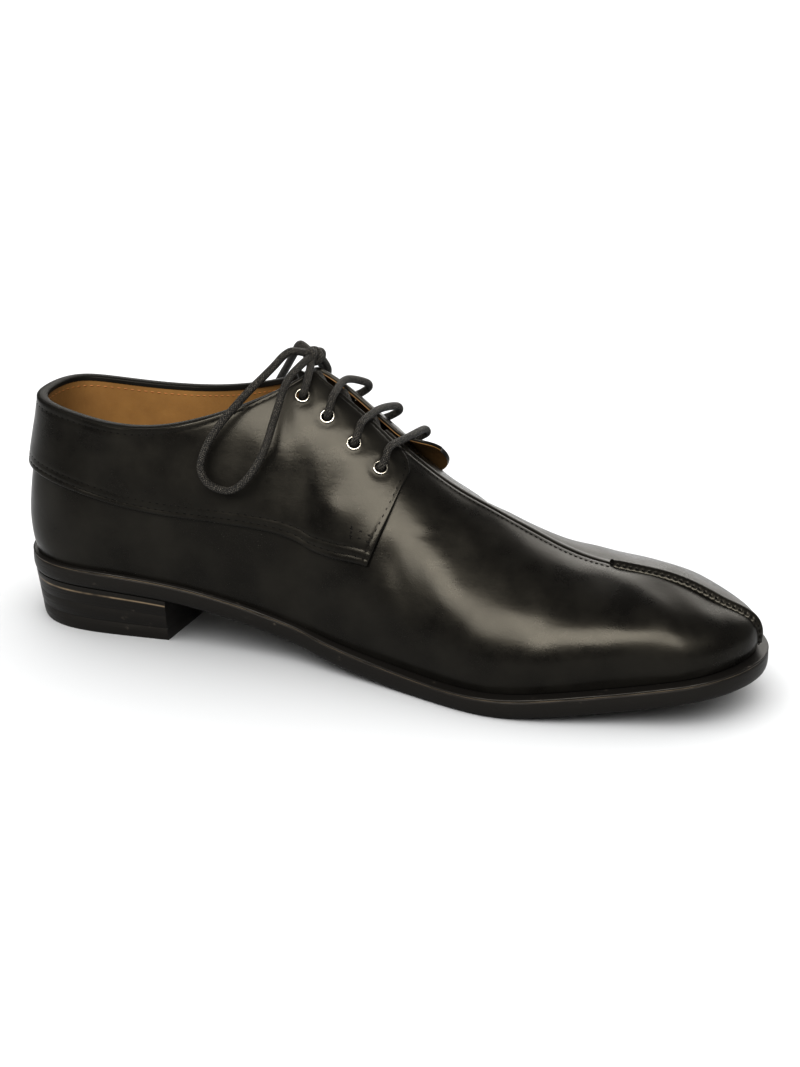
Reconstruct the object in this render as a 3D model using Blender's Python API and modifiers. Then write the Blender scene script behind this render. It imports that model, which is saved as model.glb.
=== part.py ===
"""Left derby shoe with a raised toe seam, four eyelets a side and a tied round lace.

The upper, the quarters, the tongue, the toe seam and the insole all come from one
last function: sections from the heel to the toe, each a curve from the featherline
to the collar or to the ridge of the foot.  Lengths in the tables are millimetres
from the back of the featherline; the parts are written in metres, toe towards +X,
lateral side towards +Y, sole on z = 0.
"""
import math

import bmesh
import bpy
import numpy as np
from mathutils import Matrix, Vector

MM = 0.001
FRAME_X = 149.25
FRAME_Y = -0.08

WALL = 2.2
OVERLAY_GAP = 0.5
OVERLAY_WALL = 1.5
SOLE_THICK = 8.2
PIECE_GAP = 0.3
INSOLE_THICK = 2.8
INSOLE_INSET = 2.8
HEEL_BREAST = 2.9
HEEL_INSET = 0.6
HEEL_TAPER = 2.2
THROAT = 6.3
CLOSE_START = 4.2
CLOSE_SPAN = 1.4
SLOT_START = 3.95
SLOT_SPAN = 0.9
SLOT_DEPTH = 0.39
TONGUE_GAP = 0.5
TONGUE_WALL = 2.0
TONGUE_RISE = 9.0
TOE_SEAM_START = 9.36
TOE_SEAM_HALF = 1.6
TOE_SEAM_HIGH = 1.7
LACE_RADIUS = 1.5
EYELET_OUTER = 2.8
EYELET_BORE = 1.6
EYELET_BARREL = 1.95
EYELET_HOLE = 2.2
LATERAL_LIFT = 3.2
MEDIAL_LIFT = 0.5

# One row a section: feather point on each side, height of the featherline, end of
# the curve (collar or ridge), half width of the collar, fullness of the wall on
# each side, rise of the wall, reach of the crown on each side, fall of the crown,
# width of the sole's rim outside the featherline
SECTION_COLUMNS = ("x_med", "y_med", "x_lat", "y_lat", "z", "top_x", "top_y", "top_z",
                   "half", "full_med", "full_lat", "rise", "reach_med", "reach_lat",
                   "fall", "rim")
SECTIONS = (
    ("heel_back", 0, 0, 0, 0, 28.5, 6.5, 0, 92.5, 0, 5, 5, 18, 4, 4, 24, 2.0),
    ("heel_round", 6, -19.5, 6, 19.5, 28.5, 12, 0, 92, 17, 5, 5, 18, 4, 4, 24, 2.0),
    ("heel_side", 28, -31.5, 28, 31.5, 28.5, 33, 0, 89.3, 25.5, 5, 5, 18, 4, 4, 22, 2.0),
    ("waist", 72, -30, 76, 33.5, 25.5, 72, 0.5, 90, 27.5, 5, 6, 19, 5, 5, 22, 1.8),
    ("arch", 113, -30, 117, 39.5, 18, 112, 0.5, 103.4, 10, 6, 8, 22, 16, 16, 14, 2.0),
    ("facing", 129, -32, 132, 43, 14.5, 122.5, 0, 107.5, 0, 6.5, 8.3, 22, 18, 18, 5, 2.6),
    ("instep", 145, -35.5, 148, 46, 11.3, 141, -1.2, 95, 0, 7, 8.5, 22, 21, 20, 2, 3.4),
    ("throat", 174, -42.5, 176, 50, 8.1, 172, -3, 72.3, 0, 8, 8.5, 22, 22, 19, 0.8, 4.2),
    ("ball", 204, -50, 203, 49, 7.9, 203, -4, 57.7, 0, 8, 7.3, 20, 27, 15, 0.3, 4.5),
    ("toe_start", 233, -46.5, 230, 45.8, 10.8, 231, -5.2, 47.6, 0, 7.2, 5.7, 18, 32, 25, 0.2, 4.5),
    ("shoulder", 261.5, -39, 260, 36, 14.6, 256, -5.9, 44.6, 0, 5.6, 4.6, 16, 29, 25, 1, 4.5),
    ("toe_round", 283.5, -30, 283.5, 20.5, 18.2, 272, -6.3, 41, 0, 3, 2.8, 15, 15, 13, 3.2, 4.5),
    ("toe_tip", 296, -6.5, 296, -6.5, 19.8, 280.5, -6.4, 37.4, 0, 3, 3, 14, 9, 9, 4.2, 4.5),
)
# The heel's sections fan out from points further forward than the collar
HEEL_AXIS = {"heel_back": 30, "heel_round": 31, "heel_side": 36}
# Columns of the upper in each span from the heel to the toe
SPAN_COLUMNS = (4, 4, 5, 4, 3, 3, 4, 4, 4, 4, 4, 4)

# One row a station of the quarter: lower edge and upper edge on the last
QUARTER_COLUMNS = ("u_low", "t_low", "u_top", "t_top")
QUARTER = (
    (0.012, 0.60, 0.012, 1.0),
    (1.0, 0.60, 1.0, 1.0),
    (2.0, 0.58, 2.0, 1.0),
    (3.0, 0.55, 3.0, 1.0),
    (3.6, 0.51, 3.65, 1.0),
    (4.05, 0.46, 4.25, 1.0),
    (4.5, 0.415, 4.72, 0.985),
    (5.0, 0.39, 5.2, 0.95),
    (5.4, 0.385, 5.65, 0.947),
    (5.8, 0.385, 6.05, 0.95),
    (6.1, 0.385, 6.42, 0.94),
    (6.25, 0.387, 6.6, 0.91),
    (6.35, 0.39, 6.69, 0.845),
)
QUARTER_SPANS = (4, 4, 5, 3, 2, 3, 3, 3, 2, 2, 2, 2)
QUARTER_ROWS = 8

# Places of the eyelets on the last, from the top of the facing down
EYELET_COLUMNS = ("u", "t")
EYELETS = ((4.42, 0.870), (5.42, 0.785), (5.96, 0.765), (6.36, 0.757))

# Bow: the medial loop from the knot round and back to the knot
BOW_COLUMNS = ("x", "y", "z")
BOW_LOOP = (
    (112.3, -6.2, 116.9),
    (107.5, -13.0, 111.3),
    (100.5, -23.0, 103.0),
    (91.6, -31.6, 90.5),
    (87.1, -34.8, 78.8),
    (90.5, -36.2, 71.8),
    (99.1, -36.3, 69.9),
    (105.9, -35.0, 74.9),
    (111.7, -31.9, 85.3),
    (114.8, -26.6, 98.6),
    (116.0, -17.0, 109.0),
    (119.9, -5.5, 114.6),
)
BOW_CLEAR = 0.9
KNOT = ((120.6, -4.4, 114.9), (121.2, -2.4, 116.6), (121.4, 0.0, 117.0),
        (121.2, 2.4, 116.6), (120.6, 4.4, 114.9))

SIDES = {"medial": False, "lateral": True}


def empty_scene():
    """Remove what the file starts with."""
    for item in list(bpy.data.objects):
        bpy.data.objects.remove(item)


def make_collection(name):
    """New collection in the scene."""
    group = bpy.data.collections.new(name)
    bpy.context.scene.collection.children.link(group)
    return group


def make_material(name, colour, rough, metal=0.0):
    """Plain Principled material."""
    item = bpy.data.materials.new(name)
    item.use_nodes = True
    shader = item.node_tree.nodes["Principled BSDF"]
    shader.inputs["Base Color"].default_value = (*colour, 1.0)
    shader.inputs["Roughness"].default_value = rough
    shader.inputs["Metallic"].default_value = metal
    return item


def closed_loop(medial, lateral):
    """Values round the shoe: heel, medial side, toe, lateral side."""
    return np.concatenate([medial, lateral[-2:0:-1]])


def spline_weights(values):
    """Weights of the closed cubic spline through values at 0, 1, 2, ..."""
    unit = np.eye(len(values))
    system = (4.0 * unit + np.roll(unit, 1, 0) + np.roll(unit, -1, 0)) / 6.0
    return np.linalg.solve(system, values)


def spline_at(weights, u):
    """Closed cubic spline at u."""
    u = np.asarray(u, float)
    cell = np.floor(u).astype(int)
    part = u - cell
    basis = ((1 - part) ** 3, 3 * part ** 3 - 6 * part ** 2 + 4,
             -3 * part ** 3 + 3 * part ** 2 + 3 * part + 1, part ** 3)
    total = 0.0
    for step, weight in enumerate(basis):
        total = total + weight * weights[(cell - 1 + step) % len(weights)]
    return total / 6.0


def last_splines():
    """Splines of every column of the section table round the shoe."""
    table = np.array([row[1:] for row in SECTIONS], float)
    column = {name: table[:, i] for i, name in enumerate(SECTION_COLUMNS)}
    axis = np.array([HEEL_AXIS.get(row[0], x) for row, x in zip(SECTIONS, column["top_x"])])
    both = {name: (column[name], column[name])
            for name in ("z", "top_x", "top_y", "top_z", "rise", "fall", "rim")}
    both["x"] = (column["x_med"], column["x_lat"])
    both["y"] = (column["y_med"], column["y_lat"])
    both["half"] = (-column["half"], column["half"])
    both["full"] = (column["full_med"], column["full_lat"])
    both["reach"] = (column["reach_med"], column["reach_lat"])
    both["axis"] = (axis, axis)
    return {name: spline_weights(closed_loop(*pair)) for name, pair in both.items()}


LAST = last_splines()
LOOP = 2 * (len(SECTIONS) - 1)


def ease(value):
    """Smooth step from 0 to 1."""
    value = np.clip(value, 0.0, 1.0)
    return value * value * (3.0 - 2.0 * value)


def station(u):
    """Section number, 0 at the heel and 12 at the toe, for a place round the shoe."""
    return LOOP / 2 - np.abs(LOOP / 2 - np.mod(u, LOOP))


def last_point(u, t):
    """Outside of the upper: u round the shoe, t from the featherline to the top."""
    u, t = np.broadcast_arrays(np.asarray(u, float), np.asarray(t, float))
    value = {name: spline_at(LAST[name], u) for name in LAST}
    closing = 1.0 - ease((station(u) - CLOSE_START) / CLOSE_SPAN)
    foot = np.stack([value["x"], value["y"], value["z"]], -1)
    top = np.stack([value["top_x"], value["top_y"] + closing * value["half"],
                    value["top_z"]], -1)
    out = np.stack([value["x"] - value["axis"], value["y"] - value["top_y"],
                    np.zeros_like(u)], -1)
    out = out / np.linalg.norm(out, axis=-1, keepdims=True)
    up = np.array([0.0, 0.0, 1.0])
    wall = foot + out * value["full"][..., None] + up * value["rise"][..., None]
    crown = top + out * value["reach"][..., None] - up * value["fall"][..., None]
    t = t[..., None]
    return ((1 - t) ** 3 * foot + 3 * (1 - t) ** 2 * t * wall
            + 3 * (1 - t) * t * t * crown + t ** 3 * top)


def last_normal(u, t):
    """Outward unit normal of the last."""
    u, t = np.broadcast_arrays(np.asarray(u, float), np.asarray(t, float))
    step = 0.001
    along = last_point(u + step, t) - last_point(u - step, t)
    across = last_point(u, np.minimum(t + step, 1)) - last_point(u, np.maximum(t - step, 0))
    normal = np.cross(along, across)
    return normal / np.linalg.norm(normal, axis=-1, keepdims=True)


def feather_edge(u, wide):
    """Featherline moved outwards in plan by wide."""
    u = np.asarray(u, float)
    step = 0.001
    place = np.stack([spline_at(LAST["x"], u), spline_at(LAST["y"], u)], -1)
    ahead = np.stack([spline_at(LAST[k], u + step) - spline_at(LAST[k], u - step)
                      for k in ("x", "y")], -1)
    ahead = ahead / np.linalg.norm(ahead, axis=-1, keepdims=True)
    side = np.stack([ahead[..., 1], -ahead[..., 0]], -1)
    return place + side * np.broadcast_to(wide, u.shape)[..., None]


def curve_rows(rows, counts):
    """Smooth curve through the rows of a table, counts points in each span."""
    rows = np.array(rows, float)
    first = 2 * rows[0] - rows[1]
    last = 2 * rows[-1] - rows[-2]
    full = np.vstack([first, rows, last])
    points = []
    for i, count in enumerate(counts):
        a, b, c, d = full[i:i + 4]
        for s in np.arange(count) / count:
            points.append(0.5 * (2 * b + (c - a) * s + (2 * a - 5 * b + 4 * c - d) * s ** 2
                                 + (3 * b - 3 * c + d - a) * s ** 3))
    points.append(rows[-1])
    return np.array(points)


def span_places(counts):
    """Section numbers from 0, counts places in each span."""
    places = [i + np.arange(count) / count for i, count in enumerate(counts)]
    return np.concatenate(places + [[len(counts)]])


def place_in_frame(points):
    """Table millimetres to metres in the part's frame."""
    points = np.asarray(points, float).reshape(-1, 3)
    return (points - np.array([FRAME_X, FRAME_Y, 0.0])) * MM


def grid_faces(rows, columns, start=0, wrap=False):
    """Quads of a grid of points."""
    faces = []
    for r in range(rows - 1):
        for c in range(columns if wrap else columns - 1):
            n = (c + 1) % columns
            faces.append((start + r * columns + c, start + r * columns + n,
                          start + (r + 1) * columns + n, start + (r + 1) * columns + c))
    return faces


def mesh_object(group, name, points, faces, material):
    """Object from points in table millimetres, welded and turned outwards."""
    mesh = bpy.data.meshes.new(name)
    mesh.from_pydata(place_in_frame(points).tolist(), [], faces)
    work = bmesh.new()
    work.from_mesh(mesh)
    bmesh.ops.remove_doubles(work, verts=work.verts, dist=0.00001)
    bmesh.ops.dissolve_degenerate(work, edges=work.edges, dist=0.000005)
    bmesh.ops.recalc_face_normals(work, faces=work.faces)
    work.to_mesh(mesh)
    work.free()
    mesh.materials.append(material)
    item = bpy.data.objects.new(name, mesh)
    group.objects.link(item)
    return item


def sheet_object(group, name, blocks, material, outside):
    """Open sheet from grids; outside is a point and direction the sheet must face."""
    points = []
    faces = []
    for grid, wrap in blocks:
        rows, columns = grid.shape[:2]
        faces += grid_faces(rows, columns, sum(len(p) for p in points), wrap)
        points.append(grid.reshape(-1, 3))
    item = mesh_object(group, name, np.vstack(points), faces, material)
    near = Vector(place_in_frame(outside[0])[0])
    face = min(item.data.polygons, key=lambda p: (p.center - near).length)
    if face.normal.dot(Vector(outside[1])) < 0:
        item.data.flip_normals()
    return item


def thicken(item, thickness, offset):
    """Give a sheet its wall."""
    wall = item.modifiers.new("wall", "SOLIDIFY")
    wall.thickness = thickness * MM
    wall.offset = offset
    wall.use_even_offset = True
    wall.use_quality_normals = True


def plate_object(group, name, top, bottom, material):
    """Closed solid between two grids of the same layout."""
    rows, columns = top.shape[:2]
    size = rows * columns
    faces = grid_faces(rows, columns) + grid_faces(rows, columns, size)
    rim = [(r, 0) for r in range(rows)]
    rim += [(rows - 1, c) for c in range(1, columns)]
    rim += [(r, columns - 1) for r in range(rows - 2, -1, -1)]
    rim += [(0, c) for c in range(columns - 2, 0, -1)]
    for (r, c), (q, d) in zip(rim, rim[1:] + rim[:1]):
        faces.append((r * columns + c, q * columns + d,
                      size + q * columns + d, size + r * columns + c))
    return mesh_object(group, name, np.vstack([top.reshape(-1, 3), bottom.reshape(-1, 3)]),
                       faces, material)


def sole_grid(places, wide, height, columns):
    """Grid across the sole: a row a section, from the medial to the lateral edge."""
    medial = feather_edge(places, wide)
    lateral = feather_edge(LOOP - places, wide)
    share = np.linspace(0.0, 1.0, columns)[None, :, None]
    plan = medial[:, None] * (1 - share) + lateral[:, None] * share
    level = np.broadcast_to(np.asarray(height)[:, None, None], plan.shape[:2] + (1,))
    return np.concatenate([plan, level], -1)


def sole_heights(places):
    """Top and underside of the outsole at the sections."""
    top = spline_at(LAST["z"], places) - PIECE_GAP
    under = np.maximum(0.0, spline_at(LAST["z"], places) - SOLE_THICK)
    return top, under


def build_outsole(group, material):
    """Curved layer with arch, toe spring and two flat spots."""
    places = span_places(SPAN_COLUMNS)
    rim = spline_at(LAST["rim"], places)
    top, under = sole_heights(places)
    return plate_object(group, "outsole", sole_grid(places, rim, top, 5),
                        sole_grid(places, rim - 0.5, under, 5), material)


def build_heel(group, material):
    """One block under the back of the outsole."""
    places = span_places((5, 4, 4))
    places = places * HEEL_BREAST / places[-1]
    rim = spline_at(LAST["rim"], places) - HEEL_INSET
    under = sole_heights(places)[1] - PIECE_GAP
    return plate_object(group, "heel", sole_grid(places, rim, under, 4),
                        sole_grid(places, rim - HEEL_TAPER, np.zeros_like(places), 4), material)


def build_insole(group, material):
    """Layer inside the upper, on the outsole."""
    places = span_places((4, 3, 3, 2, 2, 2, 2, 2, 3, 3, 4, 4))
    level = spline_at(LAST["z"], places)
    return plate_object(group, "insole",
                        sole_grid(places, -INSOLE_INSET, level + INSOLE_THICK, 4),
                        sole_grid(places, -INSOLE_INSET, level, 4), material)


def slot_edge(u):
    """Height on the last where the upper ends beside the throat slot."""
    return 1.0 - SLOT_DEPTH * ease((station(u) - SLOT_START) / SLOT_SPAN)


def build_upper(group, material):
    """Hollow shell: side wall all round, and the vamp over the forefoot."""
    half = span_places(SPAN_COLUMNS)
    half = half + (THROAT - half[np.argmin(np.abs(half - THROAT))]) * np.maximum(
        0.0, 1.0 - np.abs(half - THROAT) / 1.0)
    half = np.sort(half)
    around = np.concatenate([half, LOOP - half[-2:0:-1]])
    share = np.linspace(0.0, 1.0, 9)[:, None]
    side = last_point(around[None, :], share * slot_edge(around)[None, :])
    fore = half[half >= THROAT - 0.0001]
    rest = np.linspace(0.0, 1.0, 5)[:, None]
    blocks = [(side, True)]
    for lateral in SIDES.values():
        u = LOOP - fore if lateral else fore
        edge = slot_edge(u)[None, :]
        blocks.append((last_point(u[None, :], edge + (1 - edge) * rest), False))
    item = sheet_object(group, "upper", blocks, material, ((203, -4, 58), (0, 0, 1)))
    thicken(item, WALL, -1.0)
    return item


def flap_lift(u, t, lift):
    """How far the front corner of a facing stands off the vamp."""
    return lift * ease((station(u) - 6.38) / 0.32) * ease((t - 0.55) / 0.35)


def quarter_places():
    """Places on the last of the grid of a quarter, from its lower to its upper edge."""
    edge = curve_rows(QUARTER, QUARTER_SPANS)
    low = edge[:, 0:2]
    top = edge[:, 2:4]
    share = np.linspace(0.0, 1.0, QUARTER_ROWS)[:, None, None]
    grid = low[None] * (1 - share) + top[None] * share
    return grid[..., 0], np.minimum(grid[..., 1], 1.0)


def on_side(u, lateral):
    """Same place on the lateral side when lateral is true."""
    return LOOP - u if lateral else u


def eyelet_frame(u, t, lift):
    """Centre on the outside of the quarter and the direction outwards."""
    normal = last_normal(u, t)
    centre = last_point(u, t) + normal * (OVERLAY_GAP + OVERLAY_WALL + lift)
    return centre, normal


def turn_to(normal, centre):
    """Matrix that takes the z axis to normal and the origin to centre (table mm)."""
    turn = Vector((0, 0, 1)).rotation_difference(Vector(normal)).to_matrix().to_4x4()
    return Matrix.Translation(Vector(place_in_frame(centre)[0])) @ turn


def build_quarter(group, cutters, side, lateral, material):
    """Overlay with a free facing and four eyelet holes."""
    lift = LATERAL_LIFT if lateral else MEDIAL_LIFT
    u, t = quarter_places()
    around = on_side(u, lateral)
    stand = OVERLAY_GAP + flap_lift(u, t, lift)
    grid = last_point(around, t) + last_normal(around, t) * stand[..., None]
    middle = last_point(on_side(5.4, lateral), 0.6)
    item = sheet_object(group, "quarter_" + side, [(grid, False)], material,
                        (middle, last_normal(on_side(5.4, lateral), 0.6)))
    thicken(item, OVERLAY_WALL, 1.0)
    work = bmesh.new()
    for place_u, place_t in EYELETS:
        centre, normal = eyelet_frame(on_side(place_u, lateral), place_t, 0.0)
        bmesh.ops.create_cone(work, cap_ends=True, segments=12, radius1=EYELET_HOLE * MM,
                              radius2=EYELET_HOLE * MM, depth=8 * MM,
                              matrix=turn_to(normal, centre))
    mesh = bpy.data.meshes.new("eyelet_cutter_" + side)
    work.to_mesh(mesh)
    work.free()
    cutter = bpy.data.objects.new("eyelet_cutter_" + side, mesh)
    cutters.objects.link(cutter)
    cutter.hide_render = True
    cutter.display_type = "WIRE"
    hole = item.modifiers.new("eyelet holes", "BOOLEAN")
    hole.operation = "DIFFERENCE"
    hole.solver = "EXACT"
    hole.object = cutter
    return item


def build_eyelet(group, name, centre, normal, material):
    """Ring with a flange outside and a barrel through the leather."""
    profile = ((EYELET_OUTER, 0.25), (EYELET_OUTER - 0.15, 0.75), (EYELET_BORE + 0.1, 0.75),
               (EYELET_BORE, -1.6), (EYELET_BARREL, -1.6), (EYELET_BARREL, 0.25))
    work = bmesh.new()
    verts = [work.verts.new((radius * MM, 0.0, high * MM)) for radius, high in profile]
    edges = [work.edges.new((a, b)) for a, b in zip(verts, verts[1:] + verts[:1])]
    bmesh.ops.spin(work, geom=verts + edges, cent=(0, 0, 0), axis=(0, 0, 1),
                   angle=2 * math.pi, steps=12, use_merge=True)
    bmesh.ops.remove_doubles(work, verts=work.verts, dist=0.00001)
    bmesh.ops.recalc_face_normals(work, faces=work.faces)
    work.transform(turn_to(normal, centre))
    mesh = bpy.data.meshes.new(name)
    work.to_mesh(mesh)
    work.free()
    mesh.materials.append(material)
    item = bpy.data.objects.new(name, mesh)
    group.objects.link(item)
    return item


def build_tongue(group, material):
    """Sheet under the facings that ends above the top of the quarters."""
    along = np.array([6.75, 6.5, 6.25, 6.0, 5.75, 5.5, 5.25, 5.0])
    share = np.linspace(-1.0, 1.0, 11)
    reach = np.interp(along, (5.0, 6.0, 6.75), (0.25, 0.40, 0.36))
    u = np.where(share[None, :] > 0, LOOP - along[:, None], along[:, None])
    t = 1.0 - np.abs(share)[None, :] * reach[:, None]
    inner = last_point(u, t) - last_normal(u, t) * (WALL + TONGUE_GAP)
    middle = 0.5 * (last_normal(along, 1.0) + last_normal(LOOP - along, 1.0))
    middle = middle / np.linalg.norm(middle, axis=-1, keepdims=True)
    ridge = 0.5 * (last_point(along, 1.0) + last_point(LOOP - along, 1.0))
    inner[:, 5] = ridge - middle * (WALL + TONGUE_GAP)
    ahead = inner[-1] - inner[-2]
    ahead = ahead / np.linalg.norm(ahead, axis=-1, keepdims=True)
    ahead = ahead + np.array([0.0, 0.0, -0.06]) * np.abs(share)[:, None]
    ahead[:, 1] = 0.0
    extra = [inner[-1] + ahead * TONGUE_RISE * part for part in (0.5, 1.0)]
    grid = np.concatenate([inner, np.array(extra)], 0)
    item = sheet_object(group, "tongue", [(grid, False)], material,
                        (inner[4, 5], middle[4]))
    thicken(item, TONGUE_WALL, -1.0)
    return item


def toe_path():
    """Places on the last of the toe seam: along the ridge, then down the toe."""
    ridge = np.linspace(TOE_SEAM_START, LOOP / 2, 12)
    down = np.linspace(1.0, 0.07, 9)[1:]
    u = np.concatenate([ridge, np.full(len(down), LOOP / 2)])
    t = np.concatenate([np.ones(len(ridge)), down])
    return u, t


def build_toe_seam(group, material):
    """Raised ridge with a cut end on the vamp."""
    u, t = toe_path()
    path = last_point(u, t)
    below = np.minimum(t, 0.96)
    normal = last_normal(u, below) + last_normal(LOOP - u, below)
    normal = normal / np.linalg.norm(normal, axis=-1, keepdims=True)
    ahead = np.gradient(path, axis=0)
    ahead = ahead / np.linalg.norm(ahead, axis=-1, keepdims=True)
    across = np.cross(ahead, normal)
    shape = ((-1.0, 0.0), (-0.9, 0.55), (-0.45, 0.95), (0.0, 1.0), (0.45, 0.95),
             (0.9, 0.55), (1.0, 0.0))
    rings = []
    for i in range(len(path)):
        ring = []
        for wide, high in shape:
            slant = 1.5 * wide if i == 0 else 0.0
            ring.append(path[i] + across[i] * wide * TOE_SEAM_HALF + ahead[i] * slant
                        + normal[i] * (0.4 + high * TOE_SEAM_HIGH))
        rings.append(ring)
    rings = np.array(rings)
    count = len(shape)
    faces = grid_faces(len(path), count, 0, True)
    faces.append(tuple(range(count)))
    faces.append(tuple(range((len(path) - 1) * count, len(path) * count)))
    return mesh_object(group, "toe_seam", rings.reshape(-1, 3), faces, material)


def build_cord(group, name, points, material):
    """Round lace along a path."""
    curve = bpy.data.curves.new(name, "CURVE")
    curve.dimensions = "3D"
    curve.bevel_depth = LACE_RADIUS * MM
    curve.bevel_resolution = 2
    curve.use_fill_caps = True
    line = curve.splines.new("POLY")
    line.points.add(len(points) - 1)
    for target, place in zip(line.points, place_in_frame(points)):
        target.co = (*place, 1.0)
    curve.materials.append(material)
    item = bpy.data.objects.new(name, curve)
    group.objects.link(item)
    return item


def lace_bar(number):
    """Path of the lace across the facings at one pair of eyelets."""
    u, t = EYELETS[number - 1]
    share = np.linspace(0.0, 1.0, 5)
    ridge = 5.0 if number == 1 else u + 0.04
    high = 5.0 - 0.5 * share
    sides = []
    for lateral in SIDES.values():
        around = on_side(u + (ridge - u) * share, lateral)
        level = t + (1.0 - t) * share
        sides.append(last_point(around, level)
                     + last_normal(around, level) * high[:, None])
    top = 0.5 * (sides[0][-1] + sides[1][-1])
    points = np.vstack([sides[0][:-1], top[None], sides[1][-2::-1]])
    if number == 1:
        rise = np.array([0.0, 0.6, 1.4, 2.0, 2.4, 2.0, 1.4, 0.6, 0.0])
        points = points + rise[:, None] * np.array([-0.7, 0.0, 0.6])
    return points


def clear_of_quarter(points, lateral):
    """Lace path moved outwards where it would touch the quarter."""
    u, t = np.meshgrid(np.linspace(2.5, 6.5, 161), np.linspace(0.4, 1.0, 61))
    around = on_side(u, lateral)
    skin = last_point(around, t).reshape(-1, 3)
    normal = last_normal(around, t).reshape(-1, 3)
    need = OVERLAY_GAP + OVERLAY_WALL + LACE_RADIUS + BOW_CLEAR
    moved = []
    for point in points:
        apart = point - skin
        reach = np.linalg.norm(apart, axis=1)
        near = np.argmin(reach)
        inside = reach[near] < need and np.dot(apart[near], normal[near]) < 0
        lack = need + reach[near] if inside else need - reach[near]
        moved.append(point + normal[near] * max(0.0, lack))
    return np.array(moved)


def build_laces(group, material):
    """Bars across the facings, the knot and the two loops of the bow."""
    for number in range(1, len(EYELETS) + 1):
        build_cord(group, "lace_bar_%d" % number, lace_bar(number), material)
    build_cord(group, "lace_knot", np.array(KNOT), material)
    loop = curve_rows(BOW_LOOP, (2,) * (len(BOW_LOOP) - 1))
    for side, lateral in SIDES.items():
        path = loop * np.array([1.0, -1.0 if lateral else 1.0, 1.0])
        build_cord(group, "lace_loop_" + side, clear_of_quarter(path, lateral), material)


def main():
    """Build every piece of the shoe."""
    empty_scene()
    group = make_collection("derby shoe")
    cutters = make_collection("cutters")
    leather = make_material("black_leather", (0.014, 0.013, 0.012), 0.34)
    lining = make_material("tan_leather", (0.36, 0.20, 0.075), 0.55)
    sole = make_material("sole_edge", (0.018, 0.017, 0.016), 0.45)
    metal = make_material("eyelet_metal", (0.62, 0.60, 0.56), 0.28, 1.0)
    cord = make_material("waxed_cord", (0.016, 0.015, 0.015), 0.6)
    build_outsole(group, sole)
    build_heel(group, sole)
    build_insole(group, lining)
    build_upper(group, leather)
    build_tongue(group, leather)
    build_toe_seam(group, leather)
    for side, lateral in SIDES.items():
        build_quarter(group, cutters, side, lateral, leather)
        for number, (u, t) in enumerate(EYELETS, 1):
            centre, normal = eyelet_frame(on_side(u, lateral), t, 0.0)
            build_eyelet(group, "eyelet_%s_%d" % (side, number), centre, normal, metal)
    build_laces(group, cord)


main()
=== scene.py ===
"""Dressed left derby shoe: leather, seams, stitches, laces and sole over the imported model.

Every curved piece comes from one last function.  Lengths are millimetres from the back of
the featherline, as in the part's own tables, and become metres in the row frame when a
mesh is made.  A place on the last is (u, t): u counts sections from the heel, positive on
the medial side and negative on the lateral side, and t runs from the featherline to the top.
"""
import logging
import math
from dataclasses import dataclass, field
from enum import Enum

import bmesh
import bpy
import numpy as np
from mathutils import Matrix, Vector


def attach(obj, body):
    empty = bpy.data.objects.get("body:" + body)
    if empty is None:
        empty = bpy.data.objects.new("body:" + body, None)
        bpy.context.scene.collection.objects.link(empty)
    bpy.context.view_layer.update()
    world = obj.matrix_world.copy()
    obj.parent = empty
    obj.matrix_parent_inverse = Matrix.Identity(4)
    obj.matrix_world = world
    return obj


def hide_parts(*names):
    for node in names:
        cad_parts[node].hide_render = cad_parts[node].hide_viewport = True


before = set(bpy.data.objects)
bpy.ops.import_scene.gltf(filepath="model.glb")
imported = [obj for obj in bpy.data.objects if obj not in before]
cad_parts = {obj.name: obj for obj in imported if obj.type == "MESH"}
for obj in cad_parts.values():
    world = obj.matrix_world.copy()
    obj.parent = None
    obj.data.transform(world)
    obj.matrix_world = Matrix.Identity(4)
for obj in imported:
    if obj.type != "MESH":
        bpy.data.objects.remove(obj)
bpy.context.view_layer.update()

LOG = logging.getLogger("derby_shoe")
Array = np.ndarray
MM = 0.001
ORIGIN = np.array([149.25, -0.08, 0.0])
BODY = "root"


class Slot(Enum):
    """Material slots of the record."""

    LEATHER = "black_leather"
    LINING = "tan_leather"
    SOLE = "sole_edge"
    METAL = "eyelet_metal"
    CORD = "waxed_cord"


class Side(Enum):
    """Side of the shoe, with the sign that its section numbers take."""

    MEDIAL = 1.0
    LATERAL = -1.0

    @property
    def word(self) -> str:
        """Name used in piece and node names."""
        return self.name.lower()


def to_frame(points: Array) -> Array:
    """Table millimetres to metres in the row frame."""
    return (np.asarray(points, float) - ORIGIN) * MM


def unit(vectors: Array) -> Array:
    """Vectors scaled to length one."""
    return vectors / np.maximum(np.linalg.norm(vectors, axis=-1, keepdims=True), 1e-9)


def ease(value: Array) -> Array:
    """Smooth step from 0 to 1."""
    value = np.clip(value, 0.0, 1.0)
    return value * value * (3.0 - 2.0 * value)


def bell(value: Array) -> Array:
    """Soft bump of height 1 that fades on both sides of 0."""
    return np.exp(-np.square(value))


def row_curve(rows: Array, at: Array) -> Array:
    """Smooth curve through the rows of a table.

    A cubic through each pair of rows whose slopes are half the step between the rows on
    either side; the ends are carried on in a straight line.

    Args:
        rows: Table of n rows.
        at: Places on the curve, from 0 to n - 1.

    Returns:
        Points of the curve, one for each place.
    """
    rows = np.asarray(rows, float)
    at = np.asarray(at, float)
    full = np.concatenate([2 * rows[:1] - rows[1:2], rows, 2 * rows[-1:] - rows[-2:-1]])
    cell = np.clip(np.floor(at).astype(int), 0, len(rows) - 2)
    s = (at - cell).reshape(at.shape + (1,) * (rows.ndim - 1))
    a, b, c, d = (full[cell + k] for k in range(4))
    return 0.5 * (2 * b + (c - a) * s + (2 * a - 5 * b + 4 * c - d) * s ** 2
                  + (3 * b - 3 * c + d - a) * s ** 3)


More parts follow.
